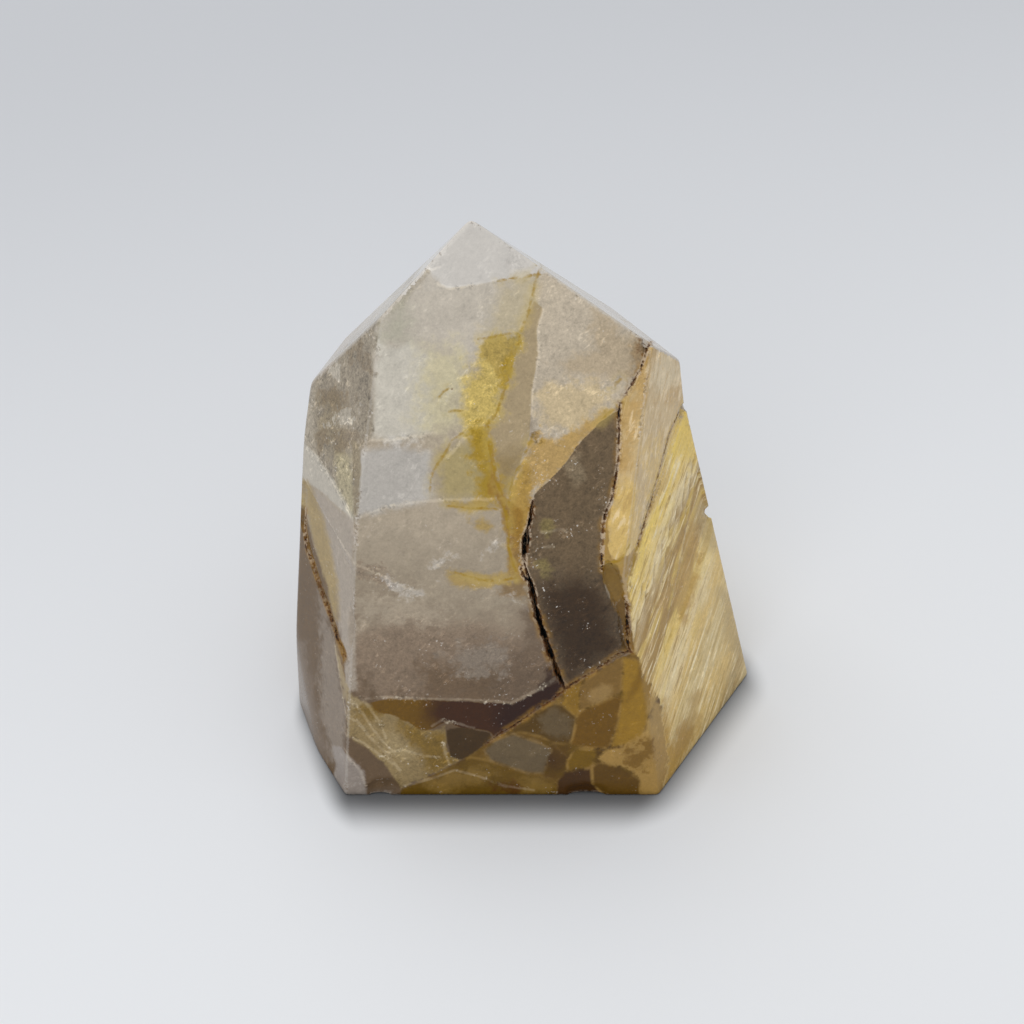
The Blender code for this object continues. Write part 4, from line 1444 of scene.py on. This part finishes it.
# Broken golden veins with a faint stain around them; pale inner fractures with dark and light chips
# along them; growth lines; and stain, grit, chips and rust beside open cracks.
VEIN_LOOKS = [
    ("gold", 0.35, {"gap": (1.2, 0.0), "mottle": (0.38, 0.6)}),
    ("deep_gold", 0.7, {"gap": (0.2, -0.08), "breaks": (0.34, 0.56)}),
    ("rust_gold", 0.5, {"gap": (0.2, -0.08), "breaks": (0.34, 0.56), "speck": (0.5, 0.62)}),
]
FRACTURE_LOOKS = [
    (1.5, 0.5, {"gap": (0.26, -0.06), "mottle": (0.25, 0.55)}),
    ("pale_rim", 0.16, {"gap": (0.26, -0.06), "mottle": (0.25, 0.55)}),
    (0.55, 0.6, {"gap": (0.5, 0.0), "breaks": (0.5, 0.62), "speck": (0.47, 0.4)}),
    ("pale_rim", 0.6, {"gap": (0.5, 0.0), "breaks": (0.5, 0.62), "speck": (0.54, 0.66)}),
]
GROWTH_LOOKS = [("flank_brown", 0.5, {"gap": (0.1, -0.15)})]
CRACK_LOOKS = [
    ("rust_gold", 0.5, {"gap": (0.8, 0.1), "mottle": (0.4, 0.6)}),
    ("rust", 0.5, {"gap": (0.45, 0.05), "speck": (0.5, 0.43)}),
    ("rose_rim", 1.0, {"gap": (0.36, 0.14), "fine": (0.46, 0.56), "height": (20.0, 30.0, 0.1, 0.7)}),
    ("rust", 0.85, {"gap": (0.13, -0.03), "fine": (0.62, 0.5)}),
]
# Lines in the order they are painted: the gap that the skin keeps of each, how far noises move its
# edge in mm, and its looks.
LINES = {
    "gold_gap": ({"fine": 0.6}, VEIN_LOOKS),
    "pale_gap": ({"fine": 0.4}, FRACTURE_LOOKS),
    "growth_gap": ({"fine": 0.3}, GROWTH_LOOKS),
    "open_gap": ({"fine": 0.4, "speck": 0.25}, CRACK_LOOKS),
}
# The black core of a crack: its gaps in mm, the breaks in it and the gaps where nothing breaks it,
# and the gaps where the stone is open.
CORE_GAPS = (0.03, -0.07)
CORE_BREAKS = (0.44, 0.54)
SURE_GAPS = (-0.24, -0.32)
OPEN_GAPS = (0.2, 0.0)
# How strongly noises shade the stone.
GRAIN_SWAYS = {"cloud": 0.2, "mottle": 0.45, "fine": 0.4, "speck": 0.35, "grain": 0.3}
# How wide the wall round a drawn cell is in mm, and where mottling breaks it.
WALL_WIDTH = 0.35
WALL_BREAKS = (0.4, 0.6)
# How strong mottling and flecks are in the plain body, how much fainter they are in the cap and
# how much stronger in some zones.
PLAIN_ROUGH = 0.7
CAP_CALM = 0.3
ROUGH_ZONES = {
    "left_tip": 1.8,
    "field": 0.5,
    "gold_field": 1.1,
    "low_cloud": 0.9,
    "smoke_window": 1.2,
    "painted_sparkles": 2.0,
    "web_zone": 0.8,
    "fracture_specks": 1.6,
    "shoulder_dusk": 0.8,
    "slope_specks": 1.2,
}
# Painted shade at the stone's very foot, where it meets the floor: the heights in mm, and how bright
# it is at each.
STONE_FOOT_PAINTED_SHADE = (0.0, 0.9, 0.7, 1.0)
# The painted edge highlight and the bruises show on edges of the side crystal and of the amber foot
# only high up: the heights in mm.
WEAR_AND_SHEEN_HEIGHTS = (24.0, 38.0)
# The cap of milky quartz: its foot's height at the middle and its rise to the right, half the width
# of its edge and how far that edge wanders, in mm, and how strongly the cap lies on.
CAP_HEIGHT = 63.75
CAP_RISE = 0.11
CAP_EDGE = 0.12
CAP_SWAYS = {"fine": 0.4}
CAP_COVER = 0.94
# The light on each side of the stone: the shine that lies over a tone and how bright it makes it.
# A tone's name starts with its side's name.
SIDE_LIGHT = {"left": (0.076, 0.74), "tip": (0.041, 0.81), "band": (0.101, 0.555), "flank": (0.048, 0.615)}
FRONT_LIGHT = (0.016, 0.8)
# The slight coolness of that light, and the darkest that a tone can be.
LIGHT_TINT = (0.985, 1.0, 1.025)
DARKEST = 0.002
# The roughness of the polish, and what flecks and open cracks add to it.
POLISH = 0.14
FLECK_ROUGH = 0.2
CRACK_ROUGH = 0.45
# How strong the fine relief is, its height in mm, and how much of it silk makes beside specks.
RELIEF = 0.35
RELIEF_HEIGHT = 0.05
SILK_RELIEF = 3.0
# The bend of light in quartz, and its shine.
QUARTZ_BEND = 1.54
SHINE = 0.25


def tone(name):
    """A tone as the linear colour that the stone needs to look like it in this light."""
    shine, light = SIDE_LIGHT.get(name.split("_")[0], FRONT_LIGHT)
    shares = [value / 255 for value in TONES[name]]
    linear = [share / 12.92 if share <= 0.04045 else ((share + 0.055) / 1.055) ** 2.4 for share in shares]
    given = [(share / tint - shine) / light for share, tint in zip(linear, LIGHT_TINT)]
    return (*(min(1.0, max(DARKEST, share)) for share in given), 1.0)


def sway(noise, size):
    """A noise as a number that sways about nothing, from -size / 2 to size / 2."""
    return (noise - 0.5) * size


class Painter(Maker):
    """Adds the nodes of the stone's material, with places in mm."""

    def __init__(self, tree):
        super().__init__(tree)
        whole = self.node("ShaderNodeTexCoord", output="Object")
        self.places = self.node("ShaderNodeVectorMath", {"operation": "SCALE"}, {0: whole, "Scale": 1.0 / MM})
        self.noises = {name: self.noise(kind) for name, kind in NOISES.items()}
        self.wander = self.sways(ZONE_SWAYS)

    def noise(self, kind, at=None):
        """A noise of a kind, at the places of the stone or at others."""
        size, *shape = kind
        values = {"Vector": at or self.places, "Scale": 1.0 / size}
        values.update(zip(("Detail", "Roughness", "Distortion"), shape))
        return self.node("ShaderNodeTexNoise", None, values)

    def sways(self, sizes):
        """The sum of some of the stone's noises, each swaying about nothing by its own size."""
        first, *others = [sway(self.noises[name], size) for name, size in sizes.items()]
        return sum(others, first)

    def turned(self, rotation, stretch):
        """Places seen along turned axes, each divided by its own length."""
        values = {"Vector": self.places, "Rotation": rotation}
        turn = self.node("ShaderNodeMapping", {"vector_type": "TEXTURE"}, values)
        return self.node("ShaderNodeVectorMath", {"operation": "DIVIDE"}, {0: turn, 1: stretch})

    def stored(self, name):
        """A number that the skin keeps at each point."""
        return self.node("ShaderNodeAttribute", {"attribute_name": name}, output="Fac")

    def mix(self, under, over, mask):
        """One colour or tone laid over another where a mask is high."""
        under, over = (tone(colour) if isinstance(colour, str) else colour for colour in (under, over))
        return self.node("ShaderNodeMix", {"data_type": "RGBA"}, {0: mask, 6: under, 7: over}, 2)

    def ramp(self, value, stops, reach):
        """A colour ramp with stops of (place, tone) over a reach."""
        made = self.node("ShaderNodeValToRGB", None, {"Fac": value / reach})
        colours = made.socket.node.color_ramp.elements
        while len(colours) < len(stops):
            colours.new(0.5)
        for element, (place, name) in zip(colours, stops):
            element.position = place / reach
            element.color = tone(name)
        return made

    def scaled(self, colour, factor):
        """A colour made brighter or darker."""
        return self.node("ShaderNodeVectorMath", {"operation": "SCALE"}, {0: colour, "Scale": factor})

    def zone(self, name, torn=None):
        """Where a zone lies, with its own fade and ragged edge."""
        kind = ZONES[name]
        inside = self.stored(name) + self.wander * kind.ragged
        inside = inside + torn if torn else inside
        return self.step(inside, -0.5 * kind.fade, 0.5 * kind.fade, 0.0, kind.cover)

    def where(self, steps, **given):
        """How far noises of the stone and given values are in their steps, multiplied."""
        first, *others = [
            self.step(given.get(name) or self.noises[name], *ends) for name, ends in steps.items()
        ]
        return math.prod(others, start=first)

    def laid(self, colour, looks, mask=1.0, **given):
        """Looks laid over a colour in their order, fainter where a mask is low."""
        for over, strength, steps in looks:
            over = over if isinstance(over, str) else self.scaled(colour, over)
            colour = self.mix(colour, over, self.where(steps, **given) * (mask * strength))
        return colour


def body_colour(painter, height):
    """Cloudy quartz, darker towards the foot."""
    return painter.ramp(height + painter.sways(BODY_SWAYS), BODY_HEIGHTS, BODY_TOP)


def flank_colour(painter):
    """The side crystal's thin growth layers, torn and silky near the seam, and their silk."""
    seam = facet_normal("seam")
    to_seam = {0: painter.places, 1: tuple(seam)}
    along = painter.node("ShaderNodeVectorMath", {"operation": "DOT_PRODUCT"}, to_seam, "Value")
    layer = FACETS["seam"][2] - along
    seam_turn = tuple(Vector(seam.tolist()).to_track_quat("X", "Z").to_euler())
    silk = painter.noise(SILK, painter.turned(seam_turn, SILK_SIZE))
    bands = painter.noise(BANDS, painter.turned(seam_turn, BAND_SIZE))
    sharp = painter.step(painter.stored("flank_zone"), *SILK_DEPTHS)
    shifted = layer + sway(bands, FLANK_BANDS) + sway(silk, FLANK_SILK) * sharp
    colour = painter.ramp(shifted + painter.sways(FLANK_SWAYS), FLANK_LAYERS, FLANK_REACH)
    colour = painter.laid(colour, SILK_LOOKS, sharp, silk=silk)
    return painter.laid(colour, WARM_LOOKS, bands=bands, layer=layer), silk


def amber_colour(painter):
    """Clear amber quartz with soft cells and paler walls."""
    clouds = painter.output(painter.noises["cloud"], "Color")
    bent = {0: clouds, 1: CELL_BEND, 2: painter.turned(*CELL_LIE)}
    bent = painter.node("ShaderNodeVectorMath", {"operation": "MULTIPLY_ADD"}, bent)
    at = {"Vector": bent, "Scale": 1.0}
    cells = painter.node("ShaderNodeTexVoronoi", {"feature": "SMOOTH_F1"}, at, "Color")
    walls = painter.node("ShaderNodeTexVoronoi", {"feature": "DISTANCE_TO_EDGE"}, at)
    share = painter.node("ShaderNodeSeparateColor", None, {"Color": cells}, "Red")
    colour = painter.ramp(share + painter.sways(CELL_SWAYS), CELL_TONES, 1.0)
    return painter.laid(colour, WALL_LOOKS, walls=walls)


def zones_over(painter, colour, looks, torn):
    """The zones painted over a colour in their order, and where each of them shows."""
    shown = {}
    for name, kind in ZONES.items():
        mask = painter.zone(name, torn.get(name))
        shown[name] = mask * shown[kind.within] if kind.within else mask
        colour = painter.mix(colour, looks.get(name, kind.tone), shown[name])
        if kind.wall:
            steps = {"edge": (WALL_WIDTH, 0.0), "mottle": WALL_BREAKS}
            wall = painter.where(steps, edge=abs(painter.stored(name)))
            colour = painter.mix(colour, "cell_corner", wall * shown[kind.within] * kind.wall)
    return colour, shown


def band_fibres(painter, colour, band):
    """Steep fibres, paler and darker, in the band between the window and the side crystal."""
    fibres = painter.noise(FIBRES, painter.turned(*FIBRE_LIE))
    return painter.laid(colour, FIBRE_LOOKS, band, fibres=fibres)


def milky_cap(painter, colour, height, notch):
    """The milky cap over a colour, and where it lies."""
    over_foot = height - CAP_RISE * painter.output(height, "X") - CAP_HEIGHT
    cap = painter.step(over_foot + painter.sways(CAP_SWAYS), -CAP_EDGE, CAP_EDGE) * (1 - notch)
    return painter.mix(colour, "milk", cap * CAP_COVER), cap


def quartz_grain(painter, colour, rough):
    """Mottling, strokes, patches and painted glints inside a colour, stronger where the stone is rough."""
    colour = painter.scaled(colour, painter.sways(GRAIN_SWAYS) * rough + 1.0)
    strokes = painter.noise(STROKES, painter.turned(*STROKE_LIE))
    colour = painter.laid(colour, STROKE_LOOKS, rough, strokes=strokes)
    colour = painter.laid(colour, PATCH_LOOKS, rough - PLAIN_ROUGH)
    # Painted glints: pale flecks standing in for light glinting in the quartz.
    colour = painter.laid(colour, PAINTED_GLINT_LOOKS, rough)
    pale = painter.where(STROKE_LOOKS[0][-1], strokes=strokes)
    return colour, pale.most(painter.where(PAINTED_GLINT_LOOKS[0][-1])) * rough


def lines_over(painter, colour, height):
    """Veins, fractures, growth lines and cracks over a colour, and where the stone is open."""
    for name, (sways, looks) in LINES.items():
        gap = painter.stored(name) + painter.sways(sways)
        colour = painter.laid(colour, looks, gap=gap, height=height)
    # The last gap is the one to the open cracks.
    deep = painter.step(painter.noises["breaks"], *CORE_BREAKS).most(painter.step(gap, *SURE_GAPS))
    core = painter.step(gap, *CORE_GAPS) * deep
    return painter.mix(colour, "crack_black", core), painter.step(gap, *OPEN_GAPS)


def golden_quartz():
    """The whole stone's material."""
    material = bpy.data.materials.new("golden_healer_quartz")
    material.use_nodes = True
    painter = Painter(material.node_tree)
    height = painter.node("ShaderNodeSeparateXYZ", None, {"Vector": painter.places}, "Z")
    flank, silk = flank_colour(painter)
    looks = {"flank_zone": flank, "amber_zone": amber_colour(painter)}
    torn = {"flank_zone": sway(silk, SILK_TEAR)}
    colour, shown = zones_over(painter, body_colour(painter, height), looks, torn)
    colour = band_fibres(painter, colour, shown["band_zone"])
    colour, cap = milky_cap(painter, colour, height, shown["cap_notch"])
    rough = PLAIN_ROUGH - cap * CAP_CALM
    for name, more in ROUGH_ZONES.items():
        rough = rough + shown[name] * more
    colour, flecks = quartz_grain(painter, colour, rough)
    plain = 1 - shown["flank_zone"].most(shown["amber_zone"])
    edge_wear_and_sheen = painter.step(height, *WEAR_AND_SHEEN_HEIGHTS).most(plain)
    # Painted highlight along the polished edges, with small real bruises.
    colour = painter.laid(colour, EDGE_SHEEN_AND_WEAR_LOOKS, edge_wear_and_sheen, wear=painter.stored("wear"))
    # Painted shade: the stone darkens at its very foot.
    colour = painter.scaled(colour, painter.step(height, *STONE_FOOT_PAINTED_SHADE))
    colour, opened = lines_over(painter, colour, height)
    relief = painter.noises["speck"] + silk * shown["flank_zone"] * SILK_RELIEF
    relief = {"Strength": RELIEF, "Distance": RELIEF_HEIGHT * MM, "Height": relief}
    shader = material.node_tree.nodes["Principled BSDF"]
    for name, value in (
        ("Base Color", colour),
        ("Roughness", POLISH + flecks * FLECK_ROUGH + opened * CRACK_ROUGH),
        ("Normal", painter.node("ShaderNodeBump", None, relief)),
    ):
        material.node_tree.links.new(value.socket, shader.inputs[name])
    shader.inputs["IOR"].default_value = QUARTZ_BEND
    shader.inputs["Specular IOR Level"].default_value = SHINE
    return material


# ------------------------------------------------------------------ the dressed stone


def cut_settings(guides):
    """The inputs of the tree that cuts the skin, apart from those with a value of their own."""
    foot, across, up = facet_axes("right")
    head = foot + GROWTH_HEAD[0] * across + GROWTH_HEAD[1] * up
    turn = Matrix(np.column_stack([across, up, facet_normal("right")]).tolist()).to_euler()
    return {**guides, "Growth place": tuple(head), "Growth turn": tuple(turn), "Material": golden_quartz()}


def dressed_stone():
    """The stone's finished mesh as one object."""
    guides = {
        "Open routes": route_object("open_routes", OPEN_ROUTES),
        "Gold routes": route_object("gold_routes", GOLD_ROUTES),
        "Pale routes": route_object("pale_routes", PALE_ROUTES),
    }
    mesh, points, outward = ground_skin(list(guides.values()))
    places = Places(points, outward)
    store_relief(mesh, places)
    store_zones(mesh, places)
    store_wear(mesh, outward)
    blank = linked(bpy.data.objects.new("stone_blank", mesh))
    cuts = blank.modifiers.new("cuts_along_seams", "NODES")
    cuts.node_group = cut_tree()
    settings = cut_settings(guides)
    for item in cuts.node_group.interface.items_tree:
        if item.in_out == "INPUT" and item.name in settings:
            cuts[item.identifier] = settings[item.name]
    bpy.context.view_layer.update()
    graph = bpy.context.evaluated_depsgraph_get()
    finished = bpy.data.meshes.new_from_object(
        blank.evaluated_get(graph), preserve_all_data_layers=True, depsgraph=graph
    )
    for used in (blank, *guides.values()):
        bpy.data.objects.remove(used, do_unlink=True)
    finished.name = "quartz_tower_dressed"
    finished.validate()
    finished.shade_smooth()
    return linked(bpy.data.objects.new("quartz_tower_dressed", finished))


# ------------------------------------------------------------------ the stage

FLOOR_SIDE = 6.0
FLOOR_ROUGHNESS = 0.7
# The floor's painted shade, a little darker to the left and behind: the direction, how far in metres
# it takes to change along it, and the two colours.
FLOOR_FALL = (-0.35, 0.94, 0.0)
FLOOR_REACH = (-0.06, 0.21)
FLOOR_NEAR = (0.82, 0.83, 0.85, 1.0)
FLOOR_FAR = (0.58, 0.59, 0.615, 1.0)
# The facets that stand on the floor: how quickly the painted shadow on the floor beside each one
# fades, and how far inside the stone it starts to fade, in mm.
FOOT_FACETS = {
    "front": (1.0, 0.0),
    "right": (1.0, 1.9),
    "right_back": (1.2, 2.0),
    "back": (1.4, 2.0),
    "left_back": (1.7, 1.8),
    "left_foot": (1.7, 1.8),
}
# How far the painted shadow beside the foot reaches in mm and how much of the floor's brightness is
# left where it starts.
FLOOR_PAINTED_SHADOW = (6.4, 0.16)
# The soft square lamps: the place and the side in metres, and the power in watts. They face a point
# in the stone.
LAMPS = {
    "top_lamp": ((-0.2, 0.3, 0.9), 0.9, 3.8),
    "front_lamp": ((-0.3, -0.8, 0.7), 0.8, 2.6),
}
LAMP_AIM = (0.0, 0.0, 0.03)
ROOM_COLOUR = (0.86, 0.88, 0.9, 1.0)
ROOM_LIGHT = 0.62
# The camera's film in mm and the nearest that it sees in metres.
FILM_WIDTH = 36.0
NEAREST_SEEN = 0.01


def beside_foot(maker, place):
    """How far a place on the floor is from the stone's foot in metres."""
    total = 0.0
    for name, (fading, inside) in FOOT_FACETS.items():
        values = {0: place, 1: tuple(facet_normal(name))}
        along = maker.node("ShaderNodeVectorMath", {"operation": "DOT_PRODUCT"}, values, "Value")
        total = total + ((along - (FACETS[name][2] - inside) * MM).most(0.0) * fading) ** 2.0
    return total**0.5


def floor_material():
    """A pale matt finish with painted shade: a little darker far off, and a painted shadow close to the
    stone.
    """
    material = bpy.data.materials.new("pale_floor")
    material.use_nodes = True
    shader = material.node_tree.nodes["Principled BSDF"]
    maker = Maker(material.node_tree)
    place = maker.node("ShaderNodeTexCoord", output="Object")
    along = {0: place, 1: FLOOR_FALL}
    along = maker.node("ShaderNodeVectorMath", {"operation": "DOT_PRODUCT"}, along, "Value")
    # Painted shade: the floor darkens to the left and behind.
    tones = {0: maker.step(along, *FLOOR_REACH), 6: FLOOR_NEAR, 7: FLOOR_FAR}
    plain = maker.node("ShaderNodeMix", {"data_type": "RGBA"}, tones, 2)
    reach, least = FLOOR_PAINTED_SHADOW
    # Painted shadow on the floor beside the stone's foot.
    left = maker.step(beside_foot(maker, place), 0.0, reach * MM, least, 1.0)
    shaded = maker.node("ShaderNodeVectorMath", {"operation": "SCALE"}, {0: plain, "Scale": left})
    material.node_tree.links.new(shaded.socket, shader.inputs["Base Color"])
    shader.inputs["Roughness"].default_value = FLOOR_ROUGHNESS
    return material


def floor():
    """A pale floor with painted shade in its finish."""
    mesh = bpy.data.meshes.new("floor")
    half = FLOOR_SIDE / 2
    corners = [(-half, -half, 0.0), (half, -half, 0.0), (half, half, 0.0), (-half, half, 0.0)]
    mesh.from_pydata(corners, [], [(0, 1, 2, 3)])
    mesh.materials.append(floor_material())
    linked(bpy.data.objects.new("floor", mesh))


def lamp(name, place, side, power):
    """A soft square lamp that faces the stone."""
    light = bpy.data.lights.new(name, "AREA")
    light.shape = "SQUARE"
    light.size = side
    light.energy = power
    made = linked(bpy.data.objects.new(name, light))
    made.location = place
    made.rotation_euler = (Vector(LAMP_AIM) - Vector(place)).to_track_quat("-Z", "Y").to_euler()


def camera():
    """The camera, at the place that the sight lines start from."""
    lens = bpy.data.cameras.new("camera")
    lens.sensor_width = FILM_WIDTH
    lens.lens = FILM_WIDTH * FOCAL / FRAME_SIDE
    lens.clip_start = NEAREST_SEEN
    made = linked(bpy.data.objects.new("camera", lens))
    made.location = EYE * MM
    made.rotation_euler = (math.pi / 2 - TILT, 0.0, 0.0)
    bpy.context.scene.camera = made


def stage():
    """The floor, the lamps, the pale surroundings and the camera."""
    floor()
    for name, settings in LAMPS.items():
        lamp(name, *settings)
    world = bpy.data.worlds.new("pale_room")
    world.use_nodes = True
    background = world.node_tree.nodes["Background"].inputs
    background["Color"].default_value = ROOM_COLOUR
    background["Strength"].default_value = ROOM_LIGHT
    bpy.context.scene.world = world
    bpy.context.scene.view_settings.view_transform = "Standard"
    camera()


stone = dressed_stone()
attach(stone, "root")
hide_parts("quartz_tower")
stage()
